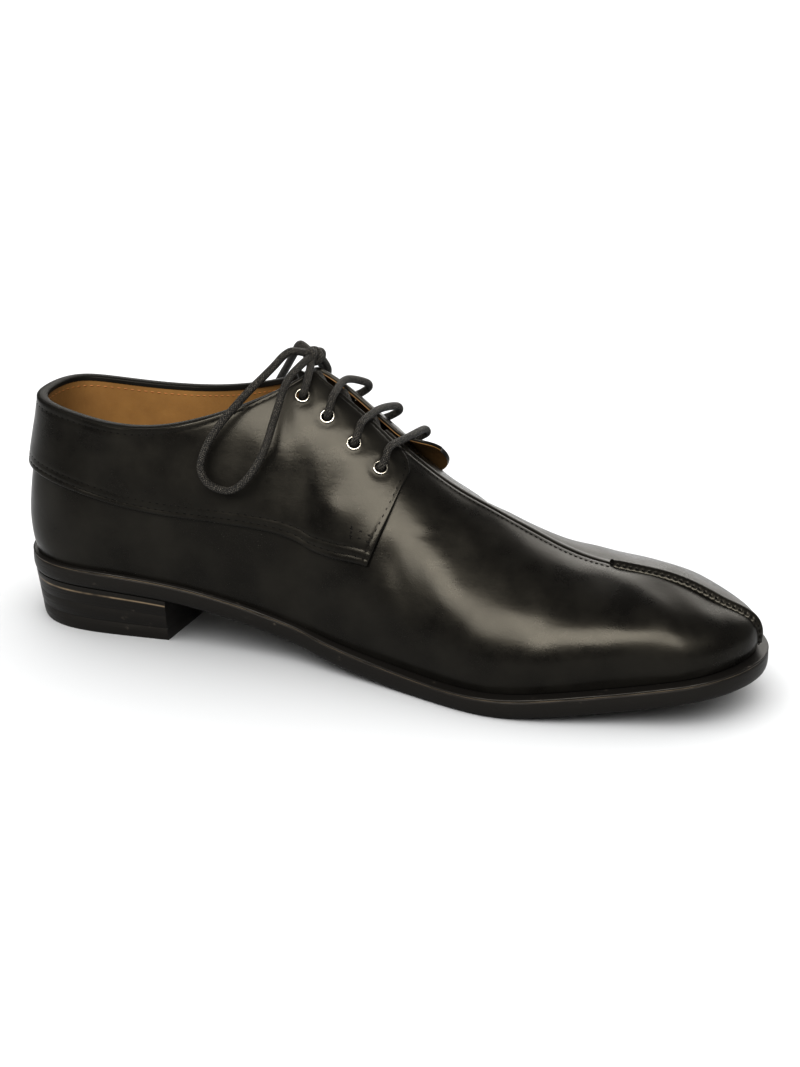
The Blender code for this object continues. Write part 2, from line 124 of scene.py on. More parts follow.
def refine(grid: Array, rows: int, columns: int) -> Array:
    """Finer grid through a coarse one, smooth both ways.

    Args:
        grid: Coarse grid of points.
        rows: Rows of the finer grid.
        columns: Columns of the finer grid.

    Returns:
        The finer grid.
    """
    tall = row_curve(grid, np.linspace(0, len(grid) - 1, rows))
    wide = row_curve(np.swapaxes(tall, 0, 1), np.linspace(0, grid.shape[1] - 1, columns))
    return np.swapaxes(wide, 0, 1)


def arc_lengths(path: Array) -> Array:
    """Length along a path at each of its points."""
    steps = np.linalg.norm(np.diff(path, axis=0), axis=1)
    return np.concatenate([[0.0], np.cumsum(steps)])


def resample(path: Array, step: float) -> Array:
    """Path with its points about one step apart.

    Args:
        path: Points, with any number of columns.
        step: Distance between points.

    Returns:
        The evenly spaced path.
    """
    along = arc_lengths(path)
    at = np.linspace(0.0, along[-1], max(3, int(round(along[-1] / step)) + 1))
    return np.stack([np.interp(at, along, path[:, k]) for k in range(path.shape[1])], -1)


class Last:
    """Form of the upper's outside, from a table of sections."""

    # Featherline on each side and its height, top of the curve (collar or ridge), half width of
    # the collar, fullness of the wall on each side, rise of the wall, reach of the crown on
    # each side, fall of the crown, width of the sole's rim outside the featherline
    COLUMNS = ("x_med", "y_med", "x_lat", "y_lat", "z", "top_x", "top_y", "top_z", "half",
               "full_med", "full_lat", "rise", "reach_med", "reach_lat", "fall", "rim")
    SECTIONS = (
        ("heel_back", 0, 0, 0, 0, 28.5, 6.5, 0, 92.5, 0, 5, 5, 18, 4, 4, 24, 2.0),
        ("heel_round", 6, -19.5, 6, 19.5, 28.5, 12, 0, 92, 17, 5, 5, 18, 4, 4, 24, 2.0),
        ("heel_side", 28, -31.5, 28, 31.5, 28.5, 33, 0, 89.3, 25.5, 5, 5, 18, 4, 4, 22, 2.0),
        ("waist", 72, -30, 76, 33.5, 25.5, 72, 0.5, 90, 27.5, 5, 6, 19, 5, 5, 22, 1.8),
        ("arch", 113, -30, 117, 39.5, 18, 112, 0.5, 103.4, 10, 6, 8, 22, 16, 16, 14, 2.0),
        ("facing", 129, -32, 132, 43, 14.5, 122.5, 0, 107.5, 0, 6.5, 8.3, 22, 18, 18, 5, 2.6),
        ("instep", 145, -35.5, 148, 46, 11.3, 141, -1.2, 95, 0, 7, 8.5, 22, 21, 20, 2, 3.4),
        ("throat", 174, -42.5, 176, 50, 8.1, 172, -3, 72.3, 0, 8, 8.5, 22, 22, 19, 0.8, 4.2),
        ("ball", 204, -50, 203, 49, 7.9, 203, -4, 57.7, 0, 8, 7.3, 20, 27, 15, 0.3, 4.5),
        ("toe_start", 233, -46.5, 230, 45.8, 10.8, 231, -5.2, 47.6, 0, 7.2, 5.7, 18, 32, 25,
         0.2, 4.5),
        ("shoulder", 261.5, -39, 260, 36, 14.6, 256, -5.9, 44.6, 0, 5.6, 4.6, 16, 29, 25,
         1, 4.5),
        ("toe_round", 283.5, -30, 283.5, 20.5, 18.2, 272, -6.3, 41, 0, 3, 2.8, 15, 15, 13,
         3.2, 4.5),
        ("toe_tip", 296, -6.5, 296, -6.5, 19.8, 280.5, -6.4, 37.4, 0, 3, 3, 14, 9, 9, 4.2, 4.5),
    )
    # The heel's sections fan out from points further forward than the collar
    HEEL_AXIS = {"heel_back": 30, "heel_round": 31, "heel_side": 36}
    # Sections over which the collar's two sides close to one ridge
    CLOSE_START = 4.2
    CLOSE_SPAN = 1.4
    # Step for measuring slopes, and the highest place where they are measured
    SLOPE_STEP = 0.001
    SLOPE_TOP = 0.975
    # Where both sides start to share one direction: height on the wall and section
    SHARED_HEIGHT, SHARED_RISE = 0.97, 0.03
    RIDGE_START, RIDGE_SPAN = 4.5, 0.5

    def __init__(self) -> None:
        """Work out the closed cubic spline of each column round the shoe."""
        table = np.array([row[1:] for row in self.SECTIONS], float)
        column = {name: table[:, i] for i, name in enumerate(self.COLUMNS)}
        axis = np.array([self.HEEL_AXIS.get(row[0], x)
                         for row, x in zip(self.SECTIONS, column["top_x"])])
        both = {name: (column[name], column[name])
                for name in ("z", "top_x", "top_y", "top_z", "rise", "fall", "rim")}
        both["x"] = (column["x_med"], column["x_lat"])
        both["y"] = (column["y_med"], column["y_lat"])
        both["half"] = (-column["half"], column["half"])
        both["full"] = (column["full_med"], column["full_lat"])
        both["reach"] = (column["reach_med"], column["reach_lat"])
        both["axis"] = (axis, axis)
        self.toe = len(self.SECTIONS) - 1
        self.weights = {name: self.spline_weights(np.concatenate([med, lat[-2:0:-1]]))
                        for name, (med, lat) in both.items()}

    @staticmethod
    def spline_weights(values: Array) -> Array:
        """Weights of the closed cubic spline through values at 0, 1, 2 and so on.

        Args:
            values: Values round the shoe.

        Returns:
            One weight for each value.
        """
        one = np.eye(len(values))
        system = (4.0 * one + np.roll(one, 1, 0) + np.roll(one, -1, 0)) / 6.0
        return np.linalg.solve(system, values)

    def value(self, name: str, u: Array) -> Array:
        """One column of the section table at the places u round the shoe.

        Args:
            name: Name of the column.
            u: Places round the shoe.

        Returns:
            Values of the closed cubic spline at the places.
        """
        weights = self.weights[name]
        u = np.asarray(u, float)
        cell = np.floor(u).astype(int)
        part = u - cell
        basis = ((1 - part) ** 3, 3 * part ** 3 - 6 * part ** 2 + 4,
                 -3 * part ** 3 + 3 * part ** 2 + 3 * part + 1, part ** 3)
        return sum(b * weights[(cell - 1 + k) % len(weights)] for k, b in enumerate(basis)) / 6.0

    def point(self, u: Array, t: Array) -> Array:
        """Outside of the last.

        A cubic curve from the featherline to the collar or ridge: its two inner handles
        stand out from the wall by the fullness and from the crown by the reach.

        Args:
            u: Places round the shoe.
            t: Heights from the featherline, 0 to 1.

        Returns:
            Points in table millimetres.
        """
        u, t = np.broadcast_arrays(np.asarray(u, float), np.asarray(t, float))
        v = {name: self.value(name, u) for name in self.weights}
        closing = 1.0 - ease((np.abs(u) - self.CLOSE_START) / self.CLOSE_SPAN)
        foot = np.stack([v["x"], v["y"], v["z"]], -1)
        top = np.stack([v["top_x"], v["top_y"] + closing * v["half"], v["top_z"]], -1)
        out = unit(np.stack([v["x"] - v["axis"], v["y"] - v["top_y"], np.zeros_like(u)], -1))
        up = np.array([0.0, 0.0, 1.0])
        wall = foot + out * v["full"][..., None] + up * v["rise"][..., None]
        crown = top + out * v["reach"][..., None] - up * v["fall"][..., None]
        t = t[..., None]
        return ((1 - t) ** 3 * foot + 3 * (1 - t) ** 2 * t * wall
                + 3 * (1 - t) * t * t * crown + t ** 3 * top)

    def normal(self, u: Array, t: Array) -> Array:
        """Outward direction; at the ridge both sides share their mean.

        Args:
            u: Places round the shoe.
            t: Heights from the featherline, 0 to 1.

        Returns:
            Directions of length one.
        """
        u, t = np.broadcast_arrays(np.asarray(u, float), np.asarray(t, float))
        near = self.side_normal(u, t)
        share = (0.5 * ease((t - self.SHARED_HEIGHT) / self.SHARED_RISE)
                 * ease((np.abs(u) - self.RIDGE_START) / self.RIDGE_SPAN))
        far = self.side_normal(-u, t)
        return unit(near * (1 - share[..., None]) + far * share[..., None])

    def side_normal(self, u: Array, t: Array) -> Array:
        """Outward direction of one side alone.

        Args:
            u: Places round the shoe.
            t: Heights from the featherline, 0 to 1.

        Returns:
            Cross product of the slopes along and up the wall, of length one.
        """
        step = self.SLOPE_STEP
        t = np.clip(t, 0.0, self.SLOPE_TOP)
        along = self.point(u + step, t) - self.point(u - step, t)
        across = self.point(u, t + step) - self.point(u, np.maximum(t - step, 0.0))
        return unit(np.cross(along, across))

    def edge(self, u: Array, wide: Array) -> Array:
        """Featherline in plan, moved outwards by wide.

        Args:
            u: Places round the shoe.
            wide: Distance outwards in millimetres.

        Returns:
            Points in plan, x and y.
        """
        u = np.asarray(u, float)
        step = self.SLOPE_STEP
        place = np.stack([self.value("x", u), self.value("y", u)], -1)
        ahead = np.stack([self.value(k, u + step) - self.value(k, u - step)
                          for k in ("x", "y")], -1)
        ahead = unit(ahead)
        side = np.stack([ahead[..., 1], -ahead[..., 0]], -1)
        return place + side * np.broadcast_to(wide, u.shape)[..., None]


LAST = Last()


@dataclass(frozen=True)
class Crease:
    """Soft trough (negative depth) or ridge (positive) through places on the last."""

    places: tuple
    width: float
    depth: float

    SPOTS = 28
    FADE = 0.7

    def height(self, points: Array) -> Array:
        """Height at points: a bell across the crease's line that fades at its ends.

        Args:
            points: Points in table millimetres.

        Returns:
            Height in millimetres, negative in a trough.
        """
        rows = np.array(self.places, float)
        line = row_curve(rows, np.linspace(0, len(rows) - 1, self.SPOTS))
        spots = LAST.point(line[:, 0], line[:, 1])
        fade = np.sin(np.pi * (np.arange(self.SPOTS) + 0.5) / self.SPOTS) ** self.FADE
        flat = points.reshape(-1, 1, 3)
        away = np.square(flat - spots[None]).sum(-1) / self.width ** 2
        return (self.depth * (np.exp(-away) * fade).max(1)).reshape(points.shape[:-1])


class Relief:
    """Listed creases and a slight unevenness of the leather."""

    # Places along each line, then its width and its depth in millimetres
    CREASES = (
        # Vamp, medial side
        Crease(((8.64, 0.56), (8.64, 0.42), (8.64, 0.30)), 5.0, -0.50),
        Crease(((7.30, 0.78), (7.56, 0.66), (7.58, 0.50)), 7.0, -0.60),
        Crease(((7.10, 0.64), (7.16, 0.52), (7.26, 0.40)), 7.0, 0.45),
        Crease(((6.84, 0.60), (7.05, 0.635), (7.32, 0.69)), 1.4, -0.16),
        Crease(((6.56, 0.50), (6.66, 0.44), (6.80, 0.36)), 4.5, -0.50),
        Crease(((8.06, 0.46), (8.44, 0.50)), 8.0, 0.40),
        Crease(((9.2, 0.46), (9.9, 0.44), (10.4, 0.42)), 8.0, 0.30),
        # Quarter, medial side
        Crease(((4.14, 0.93), (4.20, 0.78), (4.30, 0.63)), 4.2, -0.85),
        Crease(((4.62, 0.80), (4.78, 0.68), (5.0, 0.56)), 5.5, 0.65),
        Crease(((3.86, 0.92), (3.92, 0.74), (4.0, 0.6)), 4.0, -0.45),
        Crease(((5.90, 0.68), (5.92, 0.56)), 5.0, -0.40),
        Crease(((5.3, 0.55), (5.5, 0.50), (6.0, 0.50)), 5.0, 0.40),
        # Vamp, lateral side
        Crease(((-7.46, 0.84), (-7.54, 0.70), (-7.50, 0.57)), 6.0, -0.70),
        Crease(((-8.30, 0.75), (-8.40, 0.61), (-8.44, 0.47)), 8.0, -0.60),
        Crease(((-9.24, 0.62), (-9.12, 0.55), (-9.02, 0.46)), 6.0, -0.35),
        Crease(((-6.90, 0.82), (-7.06, 0.76), (-7.2, 0.72)), 3.0, -0.45),
        Crease(((-6.86, 0.66), (-7.10, 0.69), (-7.36, 0.70)), 6.5, 0.50),
        Crease(((-7.94, 0.66), (-7.96, 0.56), (-7.98, 0.44)), 7.5, 0.50),
        # Quarter, lateral side
        Crease(((-4.16, 0.92), (-4.24, 0.77), (-4.34, 0.63)), 4.2, -0.70),
        Crease(((-4.66, 0.82), (-4.84, 0.68)), 5.5, 0.55),
        # Heel
        Crease(((1.6, 0.62), (1.7, 0.45), (1.7, 0.3)), 8.0, -0.30),
        Crease(((-1.6, 0.62), (-1.7, 0.45), (-1.7, 0.3)), 8.0, -0.30),
    )
    WAVES = 18
    WAVE_HEIGHT = 0.045
    WAVE_LENGTHS = (13.0, 42.0)
    SEED = 11

    def __init__(self) -> None:
        """Fix the directions and lengths of the unevenness."""
        seed = np.random.default_rng(self.SEED)
        length = seed.uniform(*self.WAVE_LENGTHS, self.WAVES)
        self.waves = unit(seed.normal(size=(self.WAVES, 3))) * (2 * np.pi / length)[:, None]
        self.phase = seed.uniform(0, 2 * np.pi, self.WAVES)

    def height(self, points: Array) -> Array:
        """Sum of the creases and of slow sine waves through space, in millimetres."""
        waves = np.sin(points @ self.waves.T + self.phase).sum(-1) * self.WAVE_HEIGHT
        return waves + sum(crease.height(points) for crease in self.CREASES)


RELIEF = Relief()


class GridMesh:
    """Grids of points that become one welded mesh object."""

    def __init__(self, name: str) -> None:
        """Start with no grid.

        Args:
            name: Name of the mesh and its object.
        """
        self.name = name
        self.points: list = []
        self.faces: list = []
        self.slots: list = []
        self.uvs: list = []
        self.size = 0

    def add(self, grid: Array, slot: int = 0, uv: Array = None) -> None:
        """Add a grid of points.

        Args:
            grid: Points, rows by columns by 3, or several such grids.
            slot: Material number of its faces.
            uv: Two values for each point, laid out as the grid.
        """
        grid = np.asarray(grid, float)
        rows, columns = grid.shape[-3:-1]
        count = grid.size // (3 * rows * columns)
        index = np.arange(count * rows * columns).reshape(count, rows, columns) + self.size
        quads = np.stack([index[:, :-1, :-1], index[:, :-1, 1:], index[:, 1:, 1:],
                          index[:, 1:, :-1]], -1).reshape(-1, 4)
        self.points.append(grid.reshape(-1, 3))
        self.faces.append(quads)
        self.slots.append(np.full(len(quads), slot, np.int32))
        flat = np.zeros((index.size, 2)) if uv is None else np.asarray(uv, float).reshape(-1, 2)
        self.uvs.append(flat)
        self.size += index.size

    def strip(self, first: Array, second: Array, slot: int = 0) -> None:
        """Add the strip between two lines of points."""
        self.add(np.stack([first, second]), slot)

    def shell(self, outer: Array, inner: Array, slots: tuple = (0, 0, 0)) -> None:
        """Add a closed shell: outer and inner grid and the rim between them.

        Args:
            outer: Grid of the outer face.
            inner: Grid of the inner face.
            slots: Material numbers of the outer face, the inner face and the rim.
        """
        self.add(outer, slots[0])
        self.add(inner, slots[1])
        for line in (np.s_[0, :], np.s_[-1, :], np.s_[:, 0], np.s_[:, -1]):
            self.strip(outer[line], inner[line], slots[2])

    def build(self, finishes: list, sharp: float = 50.0, weld: float = 0.01) -> bpy.types.Object:
        """Make the object: weld its doubles, turn its faces out, shade it smooth.

        Args:
            finishes: Materials in slot order.
            sharp: Angle in degrees past which an edge stays sharp.
            weld: Distance in millimetres within which points are one.

        Returns:
            The object, in the scene.
        """
        mesh = bpy.data.meshes.new(self.name)
        faces = np.concatenate(self.faces)
        mesh.from_pydata(to_frame(np.concatenate(self.points)).tolist(), [], faces.tolist())
        mesh.polygons.foreach_set("material_index", np.concatenate(self.slots))
        layer = mesh.uv_layers.new(name="surface")
        layer.data.foreach_set("uv", np.concatenate(self.uvs)[faces.ravel()].ravel())
        for finish in finishes:
            mesh.materials.append(finish)
        work = bmesh.new()
        work.from_mesh(mesh)
        bmesh.ops.remove_doubles(work, verts=work.verts, dist=weld * MM)
        bmesh.ops.dissolve_degenerate(work, edges=work.edges, dist=weld * 0.5 * MM)
        bmesh.ops.recalc_face_normals(work, faces=work.faces)
        work.to_mesh(mesh)
        work.free()
        mesh.polygons.foreach_set("use_smooth", np.ones(len(mesh.polygons), bool))
        mesh.set_sharp_from_angle(angle=math.radians(sharp))
        item = bpy.data.objects.new(self.name, mesh)
        bpy.context.scene.collection.objects.link(item)
        return item


def settle(item: bpy.types.Object, slot: Slot, *nodes: str) -> bpy.types.Object:
    """Let a piece ride, hide and name the nodes it stands for, and report it.

    Args:
        item: The piece.
        slot: Its material slot; not used.
        nodes: Names of the nodes that it replaces.

    Returns:
        The piece.
    """
    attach(item, BODY)
    if nodes:
        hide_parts(*nodes)
    LOG.info("%s: %d faces, stands for %s", item.name, len(getattr(item.data, "polygons", ())),
             ", ".join(nodes) or "no node")
    return item


class NodeBook:
    """Short hand for writing a material's nodes."""

    def __init__(self, name: str) -> None:
        """New material with its surface shader.

        Args:
            name: Name of the material.
        """
        self.material = bpy.data.materials.new(name)
        self.material.use_nodes = True
        self.tree = self.material.node_tree
        self.shader = self.tree.nodes["Principled BSDF"]

    def node(self, kind: str, values: dict = None, **settings: object) -> bpy.types.Node:
        """Add a node; values are constants or sockets for its inputs.

        Args:
            kind: Type name of the node.
            values: Values of inputs, by name or number.
            settings: Properties of the node.

        Returns:
            The node.
        """
        item = self.tree.nodes.new(kind)
        for key, value in settings.items():
            setattr(item, key, value)
        for key, value in (values or {}).items():
            self.put(item.inputs[key], value)
        return item

    def put(self, socket: bpy.types.NodeSocket, value: object) -> None:
        """Set an input to a constant or link it.

        Args:
            socket: The input.
            value: A constant or another node's output.
        """
        if isinstance(value, bpy.types.NodeSocket):
            self.tree.links.new(value, socket)
        else:
            socket.default_value = value

    def surface(self, **values: object) -> None:
        """Set inputs of the shader, named with underscores for spaces."""
        for key, value in values.items():
            self.put(self.shader.inputs[key.replace("_", " ")], value)

    def place(self, kind: str = "Object", scale: tuple = (1.0, 1.0, 1.0)) -> bpy.types.NodeSocket:
        """Coordinates of the surface, scaled.

        Args:
            kind: Object for the piece's own frame, UV for its surface.
            scale: Factors for the three coordinates.

        Returns:
            The coordinates.
        """
        source = self.node("ShaderNodeTexCoord").outputs[kind]
        if scale == (1.0, 1.0, 1.0):
            return source
        return self.node("ShaderNodeMapping", {"Vector": source, "Scale": scale}).outputs[0]

    def noise(self, where: bpy.types.NodeSocket, scale: float, detail: float = 3.0,
              rough: float = 0.55) -> bpy.types.NodeSocket:
        """Cloudy noise from 0 to 1."""
        return self.node("ShaderNodeTexNoise", {"Vector": where, "Scale": scale, "Detail": detail,
                                                "Roughness": rough}).outputs[0]

    def cells(self, where: bpy.types.NodeSocket, scale: float) -> bpy.types.NodeSocket:
        """Distance to the nearest of scattered points."""
        return self.node("ShaderNodeTexVoronoi", {"Vector": where, "Scale": scale}).outputs[0]

    def spread(self, value: bpy.types.NodeSocket, low: float, high: float, to_low: float,
               to_high: float) -> bpy.types.NodeSocket:
        """Range low to high taken to another range, and held there."""
        return self.node("ShaderNodeMapRange", {"Value": value, "From Min": low, "From Max": high,
                                                "To Min": to_low, "To Max": to_high}).outputs[0]

    def combine(self, first: object, second: object, way: str = "ADD") -> bpy.types.NodeSocket:
        """Arithmetic on two values."""
        return self.node("ShaderNodeMath", {0: first, 1: second}, operation=way).outputs[0]

    def mix(self, share: object, first: tuple, second: object) -> bpy.types.NodeSocket:
        """Colour between two colours.

        Args:
            share: 0 for the first colour, 1 for the second.
            first: First colour.
            second: Second colour.

        Returns:
            The mixed colour.
        """
        item = self.node("ShaderNodeMix", data_type="RGBA")
        self.put(item.inputs["Factor"], share)
        self.put(item.inputs["A"], first)
        self.put(item.inputs["B"], second)
        return [out for out in item.outputs if out.type == "RGBA"][0]

    def bump(self, height: bpy.types.NodeSocket, strength: float, depth: float,
             below: bpy.types.NodeSocket = None) -> bpy.types.NodeSocket:
        """Normal from a height; depth is in metres.

        Args:
            height: Height from 0 to 1.
            strength: Share of the bump that is used.
            depth: Metres that a height of 1 stands for.
            below: Normal that the bump is laid on.

        Returns:
            The bumped normal.
        """
        values = {"Height": height, "Strength": strength, "Distance": depth}
        if below is not None:
            values["Normal"] = below
        return self.node("ShaderNodeBump", values).outputs[0]


@dataclass(frozen=True)
class CalfLeather:
    """Smooth calf leather with fine grain and a satin polish."""

    name: str
    deep: tuple
    worn: tuple
    rough: tuple
    grain: float = 0.18
    shine: float = 0.18

    def make(self) -> bpy.types.Material:
        """Noise in three sizes for colour and gloss, pores and grain for bump.

        Returns:
            The material.
        """
        book = NodeBook(self.name)
        where = book.place()
        cloud = book.noise(where, 55.0, 4.0)
        speck = book.noise(where, 900.0, 2.0)
        gloss = book.combine(book.combine(cloud, 0.8, "MULTIPLY"), book.combine(speck, 0.2, "MULTIPLY"))
        colour = book.mix(book.spread(cloud, 0.35, 0.7, 0.0, 1.0), self.deep, self.worn)
        pores = book.cells(where, 1500.0)
        grain = book.bump(book.noise(where, 2100.0, 3.0), self.grain, 0.00012)
        skin = book.bump(pores, self.grain * 0.55, 0.00010, grain)
        lines = book.noise(book.place("Object", (90.0, 150.0, 420.0)), 1.0, 4.0, 0.6)
        worked = book.bump(lines, 0.10, 0.0004, skin)
        soft = book.bump(book.noise(where, 150.0, 2.0), 0.10, 0.0006, worked)
        book.surface(Base_Color=colour, Normal=soft,
                     Roughness=book.spread(gloss, 0.3, 0.7, *self.rough),
                     Specular_IOR_Level=self.shine, Specular_Tint=(1.0, 0.94, 0.80, 1.0),
                     Coat_Weight=0.06, Coat_Roughness=0.18, Coat_IOR=1.45)
        return book.material


@dataclass(frozen=True)
class LiningLeather:
    """Natural vegetable-tanned lining, matte, a little darker in patches."""

    name: str
    light: tuple
    dark: tuple

    def make(self) -> bpy.types.Material:
        """Patchy colour with fine fibre bump.

        Returns:
            The material.
        """
        book = NodeBook(self.name)
        where = book.place()
        patch = book.noise(where, 38.0, 5.0, 0.6)
        fibre = book.noise(where, 1300.0, 3.0)
        colour = book.mix(book.spread(patch, 0.3, 0.72, 0.0, 1.0), self.light, self.dark)
        book.surface(Base_Color=colour, Roughness=book.spread(fibre, 0.3, 0.7, 0.48, 0.66),
                     Specular_IOR_Level=0.35,
                     Normal=book.bump(fibre, 0.25, 0.00012))
        return book.material


@dataclass(frozen=True)
class SoleEdge:
    """Inked and waxed edge of the sole with streaks along it and a pale line at the top."""

    name: str
    ink: tuple
    line: tuple

    def make(self) -> bpy.types.Material:
        """Streaks from stretched noise; the line sits at one height of the edge.

        Returns:
            The material.
        """
        book = NodeBook(self.name)
        where = book.place()
        edge = book.place("UV")
        streak = book.noise(book.place("UV", (26.0, 9.0, 1.0)), 3.0, 4.0)
        height = book.node("ShaderNodeSeparateXYZ", {0: edge}).outputs[1]
        apart = book.combine(book.combine(height, 0.885, "SUBTRACT"), 0.0, "ABSOLUTE")
        broken = book.spread(book.noise(book.place("UV", (60.0, 1.0, 1.0)), 2.0, 2.0),
                             0.35, 0.6, 0.15, 0.75)
        line = book.combine(book.spread(apart, 0.0, 0.03, 1.0, 0.0), broken, "MULTIPLY")
        scuff = book.spread(book.noise(where, 210.0, 4.0), 0.66, 0.78, 0.0, 0.5)
        worn = book.mix(scuff, self.ink, (0.075, 0.066, 0.055, 1.0))
        grain = book.bump(book.noise(where, 1500.0, 2.0), 0.15, 0.0001)
        book.surface(Base_Color=book.mix(line, worn, self.line),
                     Roughness=book.spread(streak, 0.3, 0.7, 0.30, 0.50),
                     Specular_IOR_Level=0.20, Specular_Tint=(1.0, 0.96, 0.90, 1.0),
                     Normal=book.bump(streak, 0.30, 0.00025, grain))
        return book.material


@dataclass(frozen=True)
class PlainMetal:
    """Satin nickel."""

    name: str
    colour: tuple

    def make(self) -> bpy.types.Material:
        """Metal with faint wear in its gloss.

        Returns:
            The material.
        """
        book = NodeBook(self.name)
        wear = book.noise(book.place(), 1400.0, 2.0)
        tone = book.mix(book.spread(wear, 0.35, 0.7, 0.0, 1.0), self.colour,
                        tuple(0.72 * c for c in self.colour[:3]) + (1.0,))
        book.surface(Base_Color=tone, Metallic=1.0,
                     Roughness=book.spread(wear, 0.3, 0.7, 0.16, 0.34))
        return book.material


@dataclass(frozen=True)
class WaxedCord:
    """Round braided waxed lace; the paler colour of its specks and rib crests is a painted glint."""

    name: str
    thread: tuple
    wax_glint: tuple

    def make(self) -> bpy.types.Material:
        """Two crossing sets of ribs on the tube's own coordinates, and specks; specks and rib crests
        take a paler colour, a painted glint.

        Returns:
            The material.
        """
        book = NodeBook(self.name)
        where = book.place("UV")
        split = book.node("ShaderNodeSeparateXYZ", {0: where})
        ribs = []
        for way in (1.0, -1.0):
            slant = book.combine(book.combine(split.outputs[0], 8.0 * way, "MULTIPLY"),
                             book.combine(split.outputs[1], 1.05, "MULTIPLY"))
            ribs.append(book.combine(book.combine(slant, 2 * math.pi, "MULTIPLY"), 0.0, "SINE"))
        weave = book.combine(ribs[0], ribs[1], "MAXIMUM")
        speck = book.noise(book.place(), 2600.0, 2.0)
        # Painted glint: where the rib crests and the specks take the paler colour
        light = book.spread(book.combine(book.combine(weave, 0.10, "MULTIPLY"), speck), 0.55, 0.72,
                            0.0, 1.0)
        book.surface(Base_Color=book.mix(light, self.thread, self.wax_glint),
                     Roughness=book.spread(light, 0.0, 1.0, 0.62, 0.36),
                     Specular_IOR_Level=0.28,
                     Normal=book.bump(weave, 0.80, 0.00030,
                                      book.bump(speck, 0.30, 0.0001)))
        return book.material


@dataclass
class Finishes:
    """Every material of the shoe."""

    leather: bpy.types.Material = None
    edge: bpy.types.Material = None
    lining: bpy.types.Material = None
    sole: bpy.types.Material = None
    under: bpy.types.Material = None
    metal: bpy.types.Material = None
    cord: bpy.types.Material = None
    thread: bpy.types.Material = None
    tan_thread: bpy.types.Material = None

    def make(self) -> "Finishes":
        """Make the materials.

        Returns:
            These finishes, filled in.
        """
        self.leather = CalfLeather("black_calf", (0.0022, 0.0020, 0.0018, 1),
                                   (0.0058, 0.0054, 0.0046, 1), (0.22, 0.40)).make()
        self.edge = CalfLeather("black_cut_edge", (0.0022, 0.0020, 0.0018, 1),
                                (0.0045, 0.0042, 0.0038, 1), (0.48, 0.66), 0.30, 0.10).make()
        # Both lining tones are darker than the tan leather itself: painted shade for the inside of the
        # shoe
        self.lining = LiningLeather("tan_lining_painted_shade", (0.165, 0.092, 0.030, 1),
                                    (0.112, 0.058, 0.018, 1)).make()
        self.sole = SoleEdge("inked_sole", (0.0050, 0.0046, 0.0042, 1),
                             (0.16, 0.125, 0.085, 1)).make()
        self.under = CalfLeather("sole_underside", (0.010, 0.009, 0.008, 1),
                                 (0.024, 0.020, 0.017, 1), (0.45, 0.65), 0.4).make()
        self.metal = PlainMetal("satin_nickel", (0.54, 0.51, 0.45, 1)).make()
        # The lace's second colour is a painted glint on its specks and rib crests
        self.cord = WaxedCord("waxed_lace", (0.0035, 0.0033, 0.003, 1),
                              (0.060, 0.055, 0.047, 1)).make()
        self.thread = CalfLeather("black_thread", (0.002, 0.002, 0.002, 1),
                                  (0.004, 0.0038, 0.0035, 1), (0.66, 0.82), 0.6, 0.03).make()
        self.tan_thread = LiningLeather("tan_thread", (0.20, 0.085, 0.022, 1),
                                        (0.13, 0.052, 0.014, 1)).make()
        return self


